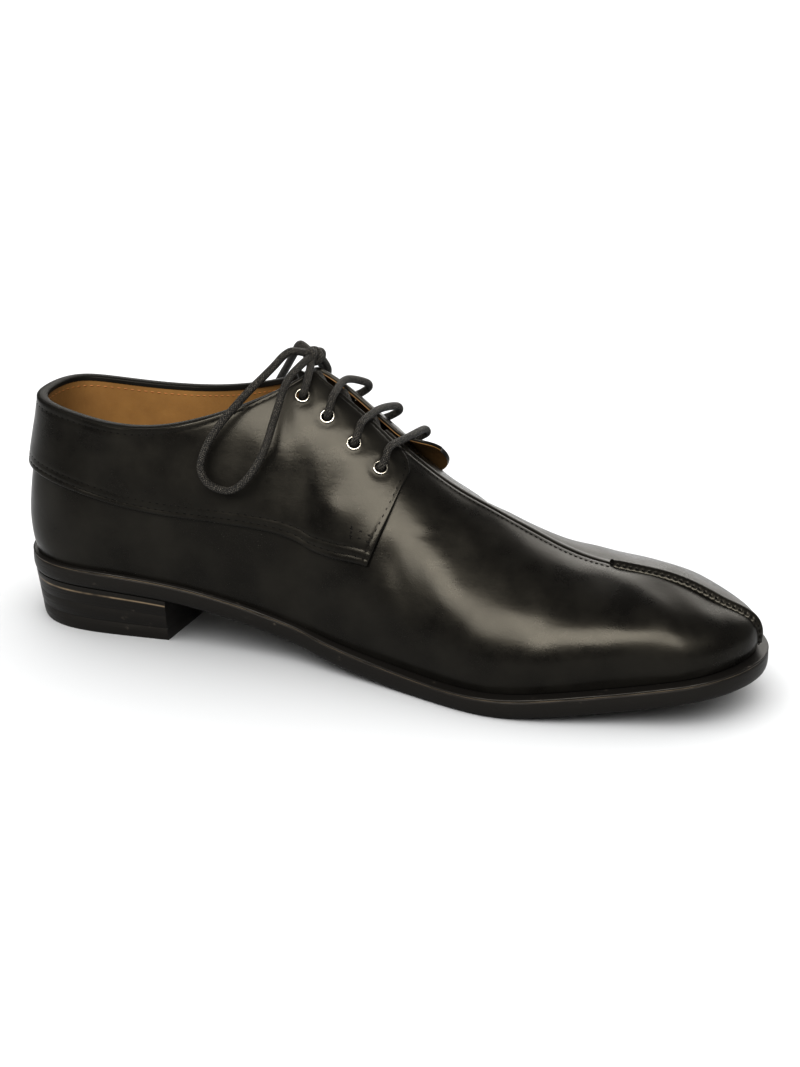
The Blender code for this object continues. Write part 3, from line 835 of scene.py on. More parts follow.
@dataclass
class Upper:
    """Hollow shell of vamp leather outside and tan lining inside, with a slot for the tongue."""

    wall: float = 2.2
    throat: float = 6.3
    slot_start: float = 3.95
    slot_span: float = 0.9
    slot_depth: float = 0.39
    seam_end: float = 9.36
    seam_depth: float = 0.55
    seam_half: float = 0.55
    seam_start: float = 6.2
    seam_fade: float = 0.2
    swell: float = 0.22
    swell_away: float = 1.9
    swell_half: float = 1.1
    foot_fade: float = 0.06

    COLUMNS = (141, 191)
    ROWS_OUT, ROWS_IN, ROWS_TOP = 52, 14, 34
    CROWDING = 1.7
    TINY = 1e-6

    def slot_edge(self, u: Array) -> Array:
        """Height where the shell ends beside the slot."""
        return 1.0 - self.slot_depth * ease((np.abs(u) - self.slot_start) / self.slot_span)

    def skin(self, u: Array, t: Array) -> Array:
        """Outside: the last, moved along its normal by the relief and the sunk centre seam.

        Args:
            u: Places round the shoe.
            t: Heights from the featherline, 0 to 1.

        Returns:
            Points in table millimetres.
        """
        base = LAST.point(u, t)
        away = np.linalg.norm(base - LAST.point(u, np.ones_like(t)), axis=-1)
        span = (ease((np.abs(u) - self.seam_start) / self.seam_fade)
                * ease((self.seam_end + 0.1 - np.abs(u)) / self.seam_fade))
        groove = -self.seam_depth * bell(away / self.seam_half) * span
        swell = self.swell * bell((away - self.swell_away) / self.swell_half) * span
        rise = RELIEF.height(base) * ease(t / self.foot_fade) + groove + swell
        return base + LAST.normal(u, t) * rise[..., None]

    def lining(self, u: Array, t: Array) -> Array:
        """Inside: the last less the wall."""
        return LAST.point(u, t) - LAST.normal(u, t) * self.wall

    def build(self, looks: Finishes) -> None:
        """Side wall all round, then the two halves of the vamp up to the ridge.

        Args:
            looks: Materials of the shoe.
        """
        mesh = GridMesh("upper_leather")
        half = np.concatenate([np.linspace(0, self.throat, self.COLUMNS[0]),
                               np.linspace(self.throat, LAST.toe, self.COLUMNS[1])[1:]])
        around = np.concatenate([-half[::-1], half[1:]])[None, :]
        height = np.linspace(0.0, 1.0, self.ROWS_OUT)[:, None] * self.slot_edge(around)
        sparse = np.linspace(0.0, 1.0, self.ROWS_IN)[:, None] * self.slot_edge(around)
        outer = self.skin(np.broadcast_to(around, height.shape), height)
        inner = self.lining(np.broadcast_to(around, sparse.shape), sparse)
        mesh.add(outer, 0)
        mesh.add(inner, 1)
        mesh.strip(outer[0], inner[0], 0)
        collar = np.abs(around[0]) <= self.throat + self.TINY
        mesh.strip(outer[-1, collar], inner[-1, collar], 0)
        rest = (1.0 - np.linspace(1.0, 0.0, self.ROWS_TOP) ** self.CROWDING)[:, None]
        for side in Side:
            u = side.value * half[half >= self.throat - self.TINY][None, :]
            edge = self.slot_edge(u)
            height = edge + (1.0 - edge) * rest
            u = np.broadcast_to(u, height.shape)
            outer, inner = self.skin(u, height), self.lining(u, height)
            mesh.add(outer, 0)
            mesh.add(inner, 1)
            mesh.strip(outer[:, 0], inner[:, 0], 0)
        item = mesh.build([looks.leather, looks.lining])
        settle(item, Slot.LEATHER, "upper")


@dataclass
class Quarter:
    """Overlay of one side, with a free facing that carries the eyelets."""

    side: Side
    gap: float = 0.5
    wall: float = 1.5
    round_edge: float = 0.8
    hole: float = 2.2
    row_top: float = 2.5
    rows_low: tuple = (2.2, 4.7)
    bulge: float = 0.05
    inner_gap: float = 0.35
    row_half: float = 0.5
    row_depth: float = 0.15
    ring_depth: float = 0.38
    ring_away: float = 3.2
    ring_half: float = 1.2
    free_from: float = 5.6
    black_share: float = 0.4

    # From the heel to the front edge: place and height at the lower, then at the upper edge
    ROWS = ((0.012, 0.60, 0.012, 1.0), (1.0, 0.60, 1.0, 1.0), (2.0, 0.555, 2.0, 1.0),
            (3.0, 0.48, 3.0, 1.0), (3.6, 0.425, 3.65, 1.0), (4.05, 0.388, 4.25, 1.0),
            (4.5, 0.357, 4.72, 0.985), (5.0, 0.339, 5.2, 0.95), (5.4, 0.341, 5.65, 0.947),
            (5.8, 0.354, 6.05, 0.95), (6.1, 0.374, 6.42, 0.94), (6.25, 0.384, 6.6, 0.91),
            (6.35, 0.39, 6.69, 0.845))
    # Place and height of each eyelet, the top one first
    EYELETS = ((4.42, 0.870), (5.42, 0.785), (5.96, 0.765), (6.36, 0.757))
    # Lift of the facing's corner in millimetres, and its length forwards in sections
    LIFT = {Side.LATERAL: 6.0, Side.MEDIAL: 0.5}
    TIP = {Side.LATERAL: 0.16, Side.MEDIAL: 0.0}
    TIP_ROWS = 2.0
    TIP_FROM, TIP_SPAN = 0.35, 0.4
    TIP_BACK, TIP_BACK_FROM, TIP_BACK_SPAN = 0.55, 0.78, 0.22
    # Section and height from which the corner lifts
    FLAP_U, FLAP_U_SPAN = 6.38, 0.45
    FLAP_T, FLAP_T_SPAN = 0.55, 0.35
    # Grid lines near an edge, in millimetres from it
    CLOSE = (0.0, 0.06, 0.16, 0.32, 0.55, 0.8, 1.2, 1.6, 2.0, 2.25, 2.5, 2.75, 3.0, 3.5)
    GRID_STEP = 1.35
    GRID_END = 4.4
    FRONT_ROW = 3.3
    USUAL_WIDTH = 58.0
    HOLE_SIDES = 28
    HOLE_DEPTH = 9.0

    @property
    def front(self) -> int:
        """Number of the last row, at the front edge."""
        return len(self.ROWS) - 1

    @property
    def lift(self) -> float:
        """How far the front corner stands off the vamp."""
        return self.LIFT[self.side]

    @property
    def tip(self) -> float:
        """How far the front corner is drawn out towards the toe, in sections."""
        return self.TIP[self.side]

    def places(self, s: Array, v: Array) -> tuple:
        """Places on the last for s along the quarter and v from its lower to its upper edge.

        Args:
            s: Places along the quarter, from the heel to the front edge.
            v: Places from the lower to the upper edge, 0 to 1.

        Returns:
            Places round the shoe and heights.
        """
        row = row_curve(np.array(self.ROWS), s)
        u = row[..., 0] * (1 - v) + row[..., 2] * v
        t = row[..., 1] * (1 - v) + row[..., 3] * v
        ahead = ease((s - self.front + self.TIP_ROWS) / self.TIP_ROWS)
        drawn = (ease((v - self.TIP_FROM) / self.TIP_SPAN)
                 - self.TIP_BACK * ease((v - self.TIP_BACK_FROM) / self.TIP_BACK_SPAN))
        u = u + ahead * (self.tip * drawn + self.bulge * np.sin(np.pi * v))
        return self.side.value * u, np.minimum(t, 1.0)

    def flap(self, u: Array, t: Array) -> Array:
        """Height of the lifted corner."""
        return (self.lift * ease((np.abs(u) - self.FLAP_U) / self.FLAP_U_SPAN)
                * ease((t - self.FLAP_T) / self.FLAP_T_SPAN))

    def widths(self, s: Array) -> Array:
        """Distance in millimetres between the lower and the upper edge."""
        low, top = (LAST.point(*self.places(s, np.full_like(s, v))) for v in (0.0, 1.0))
        return np.linalg.norm(top - low, axis=-1)

    def front_scale(self, v: Array) -> Array:
        """Millimetres for one step of s at the front edge."""
        last, back = (LAST.point(*self.places(np.full_like(v, self.front - k), v))
                      for k in (0.0, 0.5))
        return np.linalg.norm(last - back, axis=-1) * 2.0

    def eyelet(self, number: int) -> tuple:
        """Centre of an eyelet on the outside, its outward direction and its way to the ridge.

        Args:
            number: Number of the eyelet, 1 at the top.

        Returns:
            The centre and the two directions.
        """
        u, t = self.EYELETS[number - 1]
        u = np.array(self.side.value * u)
        t = np.array(t)
        normal = LAST.normal(u, t)
        centre = LAST.point(u, t) + normal * (self.gap + self.wall)
        inward = unit(LAST.point(u, t + 0.05) - LAST.point(u, t))
        return centre, normal, inward

    def outside(self, s: Array, v: Array) -> tuple:
        """Outer face, rounded at its edges, sunk along the stitches and round the eyelets.

        Args:
            s: Places along the quarter, from the heel to the front edge.
            v: Places from the lower to the upper edge.

        Returns:
            Points and outward directions.
        """
        u, t = self.places(s, v)
        base, normal = LAST.point(u, t), LAST.normal(u, t)
        wide = self.widths(s)
        low, top = v * wide, (1 - v) * wide
        ahead = (self.front - s) * self.front_scale(v)
        near = np.minimum(np.minimum(low, top), ahead)
        inside = np.clip(self.round_edge - near, 0.0, self.round_edge)
        fall = self.round_edge - np.sqrt(np.maximum(self.round_edge ** 2 - inside ** 2, 0.0))
        sewn = bell((np.minimum(top, ahead) - self.row_top) / self.row_half)
        sewn = sewn + sum(bell((low - row) / self.row_half) for row in self.rows_low)
        ring = 0.0
        for place_u, place_t in self.EYELETS:
            spot = LAST.point(np.array(self.side.value * place_u), np.array(place_t))
            away = np.linalg.norm(base - spot, axis=-1)
            ring = ring + self.ring_depth * bell((away - self.ring_away) / self.ring_half)
        stand = (self.gap + self.wall + self.flap(u, t) - fall - self.row_depth * sewn - ring
                 + RELIEF.height(base) * ease((near + 1.0) / 5.0))
        return base + normal * stand[..., None], normal

    def inside(self, s: Array, v: Array) -> Array:
        """Inner face, just off the upper.

        Args:
            s: Places along the quarter, from the heel to the front edge.
            v: Places from the lower to the upper edge, 0 to 1.

        Returns:
            Points in table millimetres.
        """
        u, t = self.places(s, v)
        stand = self.inner_gap + self.flap(u, t)
        return LAST.point(u, t) + LAST.normal(u, t) * stand[..., None]

    def lines(self) -> tuple:
        """Spacing of the grid: even in millimetres, closer at the edges and stitch rows.

        Returns:
            Places s along the quarter and v across it.
        """
        fine = np.linspace(0.0, self.front, 1201)
        path = LAST.point(*self.places(fine, np.full_like(fine, 0.6)))
        along = arc_lengths(path)
        close = np.array(self.CLOSE)
        ahead = self.front - close / self.FRONT_ROW
        back = np.interp(np.arange(0.0, along[-1] - self.GRID_END, self.GRID_STEP), along, fine)
        s = np.unique(np.concatenate([back, ahead]))
        low = np.concatenate([close, np.arange(3.9, 6.4, 0.4)]) / self.USUAL_WIDTH
        top = 1.0 - close / self.USUAL_WIDTH
        v = np.unique(np.concatenate([low, np.linspace(low[-1], top[-1], 34), top]))
        return s, v

    def build(self, looks: Finishes) -> None:
        """Closed shell with tan inside and tan facing edge, then the eyelet holes.

        Args:
            looks: Materials of the shoe.
        """
        s, v = self.lines()
        grid_v, grid_s = np.meshgrid(v, s, indexing="ij")
        outer = self.outside(grid_s, grid_v)[0]
        inner = self.inside(grid_s, grid_v)
        mesh = GridMesh("quarter_%s_leather" % self.side.word)
        mesh.add(outer, 0)
        mesh.add(inner, 1)
        free = s >= self.free_from
        held = s <= s[free][0]
        middle = (self.black_share * outer[-1, free]
                  + (1.0 - self.black_share) * inner[-1, free])
        mesh.strip(outer[-1, free], middle, 0)
        mesh.strip(middle, inner[-1, free], 1)
        mesh.strip(outer[-1, held], inner[-1, held], 0)
        mesh.strip(outer[0], inner[0], 0)
        mesh.strip(outer[:, 0], inner[:, 0], 0)
        mesh.strip(outer[:, -1], inner[:, -1], 0)
        item = mesh.build([looks.leather, looks.lining])
        self.punch(item)
        settle(item, Slot.LEATHER, "quarter_" + self.side.word)

    def punch(self, item: bpy.types.Object) -> None:
        """Cut the eyelet holes into the mesh.

        Args:
            item: The quarter.
        """
        work = bmesh.new()
        for number in range(1, len(self.EYELETS) + 1):
            centre, normal, _ = self.eyelet(number)
            turn = Vector((0, 0, 1)).rotation_difference(Vector(normal)).to_matrix().to_4x4()
            turn.translation = Vector(to_frame(centre))
            bmesh.ops.create_cone(work, cap_ends=True, segments=self.HOLE_SIDES, radius1=self.hole * MM,
                                  radius2=self.hole * MM, depth=self.HOLE_DEPTH * MM,
                                  matrix=turn)
        mesh = bpy.data.meshes.new("hole_tool")
        work.to_mesh(mesh)
        work.free()
        tool = bpy.data.objects.new("hole_tool", mesh)
        bpy.context.scene.collection.objects.link(tool)
        cut = item.modifiers.new("holes", "BOOLEAN")
        cut.operation = "DIFFERENCE"
        cut.solver = "EXACT"
        cut.object = tool
        ready = item.evaluated_get(bpy.context.evaluated_depsgraph_get())
        cut_mesh = bpy.data.meshes.new_from_object(ready)
        item.modifiers.clear()
        item.data = cut_mesh
        bpy.data.objects.remove(tool)


@dataclass
class StitchRows:
    """Rows of short stitches joined in one mesh."""

    name: str
    pitch: float = 3.0
    length: float = 2.2
    radius: float = 0.36
    rows: list = field(default_factory=list)

    ALONG = (-1.0, -0.86, -0.45, 0.0, 0.45, 0.86, 1.0)
    SIDES = 7
    FLAT = 0.8
    DIP = 0.25

    def row(self, path: Array, normal: Array) -> None:
        """Add a row along a path with outward directions.

        Each stitch is a small spindle: a circle carried along it whose radius follows half
        an ellipse, flattened towards the leather.

        Args:
            path: Points in table millimetres.
            normal: Outward directions at the points.
        """
        both = resample(np.concatenate([path, normal], -1), self.pitch)
        place, up = both[:, :3], unit(both[:, 3:])
        ahead = unit(np.gradient(place, axis=0))
        side = unit(np.cross(ahead, up))
        along = np.array(self.ALONG)
        thick = np.sqrt(np.maximum(1.0 - along ** 4, 0.0)) * self.radius
        turn = np.linspace(0.0, 2 * np.pi, self.SIDES + 1)
        ring_side = thick[:, None] * np.cos(turn)[None]
        ring_up = (thick[:, None] * np.sin(turn)[None] * self.FLAT
                   - self.DIP * np.square(along)[:, None])
        reach = (along * self.length / 2)[:, None, None]
        grid = (place[:, None, None] + ahead[:, None, None] * reach
                + side[:, None, None] * ring_side[..., None]
                + up[:, None, None] * ring_up[..., None])
        self.rows.append(grid)

    def build(self, thread: bpy.types.Material) -> None:
        """Join the rows.

        Args:
            thread: Material of the thread.
        """
        mesh = GridMesh(self.name)
        mesh.add(np.concatenate(self.rows))
        settle(mesh.build([thread], 80.0, 0.004), Slot.LEATHER)


@dataclass
class Seams:
    """Stitching of the quarters, the collar, the vamp's centre and the lining."""

    sink: float = 0.15
    beside_seam: float = 0.963
    above_vamp: float = 0.16
    lining_row: float = 0.952
    lining_wall: float = 2.22

    # Places along the quarter where its rows start and end
    COLLAR_START = 0.15
    LOW_START, LOW_END = 0.12, 0.75
    CENTRE = (6.72, 9.30)
    LINING_REACH = 4.1
    FRONT_TOP, FRONT_LOW = 0.97, 0.045
    CORNER_BACK, CORNER_DROP = 0.9, 0.06
    # Sides of the sewn box: first and last place, then millimetres above the lower edge
    BOX_PLACE = 10.4
    BOX = ((9.70, 11.05, 9.2, 10.0), (9.74, 11.1, 7.2, 7.9), (9.70, 9.74, 9.6, 6.8))

    def on_quarter(self, quarter: Quarter, s: Array, v: Array) -> tuple:
        """Line on a quarter's outside."""
        points, normal = quarter.outside(s, v)
        return points - normal * self.sink, normal

    def facing_line(self, quarter: Quarter, start: float) -> tuple:
        """Places of the row that follows the upper edge and turns down the front edge.

        Args:
            quarter: The quarter.
            start: First place along the quarter.

        Returns:
            Places along and across the quarter.
        """
        inset = quarter.row_top
        along = np.linspace(start, quarter.front, 260)
        v_top = 1.0 - inset / quarter.widths(along)
        down = np.linspace(self.FRONT_TOP, self.FRONT_LOW, 120)
        s_front = quarter.front - inset / quarter.front_scale(down)
        keep_top = along < s_front[0] - self.CORNER_BACK
        keep_front = down < v_top[-1] - self.CORNER_DROP
        s0, v0 = along[keep_top][-1], v_top[keep_top][-1]
        s1, v1 = s_front[keep_front][0], down[keep_front][0]
        bow = np.linspace(0.0, np.pi / 2, 14)[1:-1]
        s = np.concatenate([along[keep_top], s0 + (s1 - s0) * np.sin(bow), s_front[keep_front]])
        v = np.concatenate([v_top[keep_top], v1 + (v0 - v1) * np.cos(bow), down[keep_front]])
        return s, v

    def build(self, looks: Finishes, quarters: list) -> None:
        """Sew every row.

        Args:
            looks: Materials of the shoe.
            quarters: The two quarters.
        """
        for quarter in quarters:
            rows = StitchRows("stitches_%s" % quarter.side.word)
            rows.row(*self.on_quarter(quarter, *self.facing_line(quarter, self.COLLAR_START)))
            for inset in quarter.rows_low:
                s = np.linspace(self.LOW_START, quarter.front - self.LOW_END, 300)
                rows.row(*self.on_quarter(quarter, s, inset / quarter.widths(s)))
            self.tack(rows, quarter)
            rows.build(looks.thread)
        centre = StitchRows("stitches_centre", 2.1, 1.6, 0.20)
        u = np.linspace(*self.CENTRE, 200)
        t = np.full_like(u, self.beside_seam)
        base, normal = LAST.point(u, t), LAST.normal(u, t)
        centre.row(base + normal * (RELIEF.height(base) + self.above_vamp)[:, None], normal)
        centre.build(looks.thread)
        inner = StitchRows("stitches_lining", 2.8, 2.1, 0.26)
        u = np.linspace(-self.LINING_REACH, self.LINING_REACH, 500)
        t = np.full_like(u, self.lining_row)
        normal = LAST.normal(u, t)
        inner.row(LAST.point(u, t) - normal * self.lining_wall, -normal)
        inner.build(looks.tan_thread)

    def tack(self, rows: StitchRows, quarter: Quarter) -> None:
        """Small sewn box near the lower front corner.

        Args:
            rows: Rows that take the stitches.
            quarter: The quarter.
        """
        wide = float(quarter.widths(np.array([self.BOX_PLACE]))[0])
        for s0, s1, low0, low1 in self.BOX:
            s = np.linspace(s0, s1, 20)
            rows.row(*self.on_quarter(quarter, s, np.linspace(low0, low1, 20) / wide))


@dataclass
class CollarEdge:
    """Rounded black edge that closes quarter, upper and lining at the top."""

    half: float = 2.15
    high: float = 0.85
    reach: float = 4.62
    skirt: float = 1.3
    sink: float = 0.1
    fade: float = 0.25
    end_share: float = 0.35

    def build(self, looks: Finishes) -> None:
        """Half an ellipse carried along the collar, with a short skirt on each side.

        Args:
            looks: Materials of the shoe.
        """
        u = np.linspace(-self.reach, self.reach, 360)
        one = np.ones_like(u)
        base = LAST.point(u, one) - LAST.normal(u, one) * self.sink
        ahead = unit(np.gradient(base, axis=0))
        out = unit(np.cross(ahead, np.array([0.0, 0.0, 1.0])))
        up = unit(np.cross(out, ahead))
        turn = np.linspace(0.0, np.pi, 15)
        wide = np.concatenate([[1.0], np.cos(turn), [-1.0]]) * self.half
        tall = np.concatenate([[-self.skirt], np.sin(turn) * self.high, [-self.skirt]])
        fade = ease((self.reach - np.abs(u)) / self.fade)[:, None]
        full = self.end_share + (1.0 - self.end_share) * fade
        grid = (base[:, None] + out[:, None] * wide[None, :, None]
                + up[:, None] * ((tall[None] + self.skirt) * full - self.skirt)[..., None])
        mesh = GridMesh("collar_edge")
        mesh.add(grid)
        mesh.strip(grid[:, 0], grid[:, -1])
        for end in (grid[0], grid[-1]):
            mesh.strip(end[:8], end[:8:-1])
            mesh.strip(end[7:9], np.stack([end[9], end[9]]))
        settle(mesh.build([looks.edge]), Slot.LEATHER)


@dataclass
class Tongue:
    """Sheet under the facings that ends above them."""

    wall: float = 2.0
    gap: float = 0.5
    rise: float = 9.0
    upper_wall: float = 2.2

    ALONG = (6.75, 6.5, 6.25, 6.0, 5.75, 5.5, 5.25, 5.0)
    REACH_AT, REACH = (5.0, 6.0, 6.75), (0.25, 0.40, 0.36)
    SIDE_DROP = -0.06
    ROWS, COLUMNS = 110, 81
    LENGTH, HALF_WIDTH = 60.0, 22.0
    EDGE_ROUND = 1.2
    THIN = 0.30
    WAVE, WAVE_TURNS, WAVE_HALF = 0.25, 17.0, 0.7

    def coarse(self) -> Array:
        """Grid of the outer face: below the upper's inside, carried on above the facings.

        Returns:
            Coarse grid of points.
        """
        along = np.array(self.ALONG)
        share = np.linspace(-1.0, 1.0, 11)
        reach = np.interp(along, self.REACH_AT, self.REACH)
        u = np.where(share[None, :] > 0, -along[:, None], along[:, None])
        t = 1.0 - np.abs(share)[None, :] * reach[:, None]
        inner = LAST.point(u, t) - LAST.side_normal(u, t) * (self.upper_wall + self.gap)
        one = np.ones_like(along)
        middle = unit(LAST.side_normal(along, one) + LAST.side_normal(-along, one))
        ridge = 0.5 * (LAST.point(along, one) + LAST.point(-along, one))
        inner[:, 5] = ridge - middle * (self.upper_wall + self.gap)
        drop = np.array([0.0, 0.0, self.SIDE_DROP]) * np.abs(share)[:, None]
        ahead = unit(inner[-1] - inner[-2]) + drop
        ahead[:, 1] = 0.0
        extra = [inner[-1] + ahead * self.rise * part for part in (0.5, 1.0)]
        return np.concatenate([inner, np.array(extra)], 0)

    def build(self, looks: Finishes) -> None:
        """Fine grid with a thickness that thins to its rounded edges.

        Args:
            looks: Materials of the shoe.
        """
        outer = refine(self.coarse(), self.ROWS, self.COLUMNS)
        along, across = np.gradient(outer, axis=0), np.gradient(outer, axis=1)
        normal = unit(np.cross(along, across))
        normal = normal * np.sign(normal[60, 40, 2])
        row = np.linspace(0, 1, self.ROWS)[:, None]
        column = np.linspace(-1, 1, self.COLUMNS)[None, :]
        near = np.minimum((1 - row) * self.LENGTH, (1 - np.abs(column)) * self.HALF_WIDTH)
        full = np.sqrt(np.clip(near / self.EDGE_ROUND, 0, 1))
        thick = self.wall * (self.THIN + (1.0 - self.THIN) * full)
        drop = (self.wall - thick) / 2
        bend = (self.WAVE * np.sin(row * self.WAVE_TURNS)
                * bell(column / self.WAVE_HALF))
        outer = outer + normal * (bend - drop)[..., None]
        inner = outer - normal * thick[..., None]
        mesh = GridMesh("tongue_leather")
        mesh.shell(outer, inner, (0, 1, 0))
        settle(mesh.build([looks.leather, looks.lining]), Slot.LEATHER, "tongue")


@dataclass
class ToeRidge:
    """Raised sewn ridge from the vamp over the toe, cut off square at its start."""

    start: float = 9.36
    tall: float = 2.0
    pitch: float = 2.4
    pull: float = 0.30
    foot: float = 0.1
    stitch_out: float = 1.75
    stitch_up: float = 0.86

    # Sideways place in millimetres and share of the height
    PROFILE = ((-2.1, -0.20), (-1.9, 0.18), (-1.55, 0.58), (-1.05, 0.88), (-0.45, 1.0), (0.2, 0.97),
               (0.9, 0.84), (1.6, 0.58), (2.2, 0.28), (2.55, 0.08), (2.65, -0.20))

    def line(self) -> tuple:
        """Path along the ridge and down the toe, with outward and sideways directions.

        Returns:
            Points, then the outward, forward and sideways directions.
        """
        ridge = np.linspace(self.start, LAST.toe, 90)
        down = np.linspace(1.0, 0.07, 70)[1:]
        u = np.concatenate([ridge, np.full(len(down), float(LAST.toe))])
        t = np.concatenate([np.ones(len(ridge)), down])
        path = resample(LAST.point(u, t), 0.45)
        share = np.linspace(0, 1, len(path))
        full = arc_lengths(LAST.point(u, t))
        at_u = np.interp(share * full[-1], full, u)
        at_t = np.minimum(np.interp(share * full[-1], full, t), 0.96)
        normal = unit(LAST.side_normal(at_u, at_t) + LAST.side_normal(-at_u, at_t))
        ahead = unit(np.gradient(path, axis=0))
        return path, normal, ahead, np.cross(ahead, normal)

    def build(self, looks: Finishes) -> None:
        """Lopsided round profile; its near side is pulled in under each stitch.

        Args:
            looks: Materials of the shoe.
        """
        path, normal, ahead, across = self.line()
        wide, tall = np.array(self.PROFILE).T
        along = arc_lengths(path)
        pull = 0.5 + 0.5 * np.cos(2 * np.pi * along / self.pitch)
        near = bell((wide - 1.9) / 0.7)
        slant = np.where(along < 0.3, 1.0, 0.0)[:, None] * 0.8 * wide[None]
        ends = (0.85 + 0.15 * ease(along / 3.0)) * (0.7 + 0.3 * ease((along[-1] - along) / 14.0))
        grid = (path[:, None]
                + across[:, None] * (wide[None] * ends[:, None]
                                     - self.pull * near[None] * pull[:, None])[..., None]
                + normal[:, None] * (self.foot + tall[None] * self.tall * ends[:, None]
                                     - self.pull * near[None] * pull[:, None])[..., None]
                + ahead[:, None] * slant[..., None])
        mesh = GridMesh("toe_ridge")
        mesh.add(grid)
        mesh.strip(grid[:, 0], grid[:, -1])
        for end in (grid[0], grid[-1]):
            mesh.strip(end[:6], end[:4:-1])
        settle(mesh.build([looks.leather], 60.0), Slot.LEATHER, "toe_seam")
        rows = StitchRows("stitches_toe", self.pitch, 1.7, 0.30)
        place = (path + across * (self.stitch_out * ends)[:, None]
                 + normal * (self.stitch_up * ends)[:, None])
        rows.row(place, unit(normal + across))
        rows.build(looks.thread)


@dataclass
class Eyelets:
    """Plain rings with a barrel through the facing."""

    outer: float = 2.85
    bore: float = 2.12
    deep: float = 1.2
    sheet: float = 0.12
    bead_foot: float = 0.10
    bead: float = 0.34
    sink: float = 0.12
    lip: float = 0.15
    under: float = 0.05

    def build(self, looks: Finishes, quarter: Quarter) -> None:
        """A closed profile turned about each eyelet's axis.

        Args:
            looks: Materials of the shoe.
            quarter: The quarter that holds them.
        """
        turn = np.linspace(0.0, 2 * np.pi, 49)
        bead = np.linspace(np.pi, 0.0, 9)
        middle, half = (self.outer + self.bore) / 2, (self.outer - self.bore) / 2
        barrel = self.bore + self.sheet
        radius = np.concatenate([[self.bore, self.bore], middle + half * np.cos(bead),
                                 [self.outer - self.lip, barrel, barrel, self.bore]])
        high = np.concatenate([[-self.deep, 0.0], self.bead_foot + self.bead * np.sin(bead),
                               [-self.under, -self.under, -self.deep, -self.deep]])
        for number in range(1, len(quarter.EYELETS) + 1):
            centre, normal, inward = quarter.eyelet(number)
            side = np.cross(normal, inward)
            grid = (centre + normal * high[:, None, None]
                    + inward * (radius[:, None] * np.cos(turn))[..., None]
                    + side * (radius[:, None] * np.sin(turn))[..., None]
                    - normal * self.sink)
            mesh = GridMesh("eyelet_ring_%s_%d" % (quarter.side.word, number))
            mesh.add(grid)
            settle(mesh.build([looks.metal], 60.0), Slot.METAL,
                   "eyelet_%s_%d" % (quarter.side.word, number))


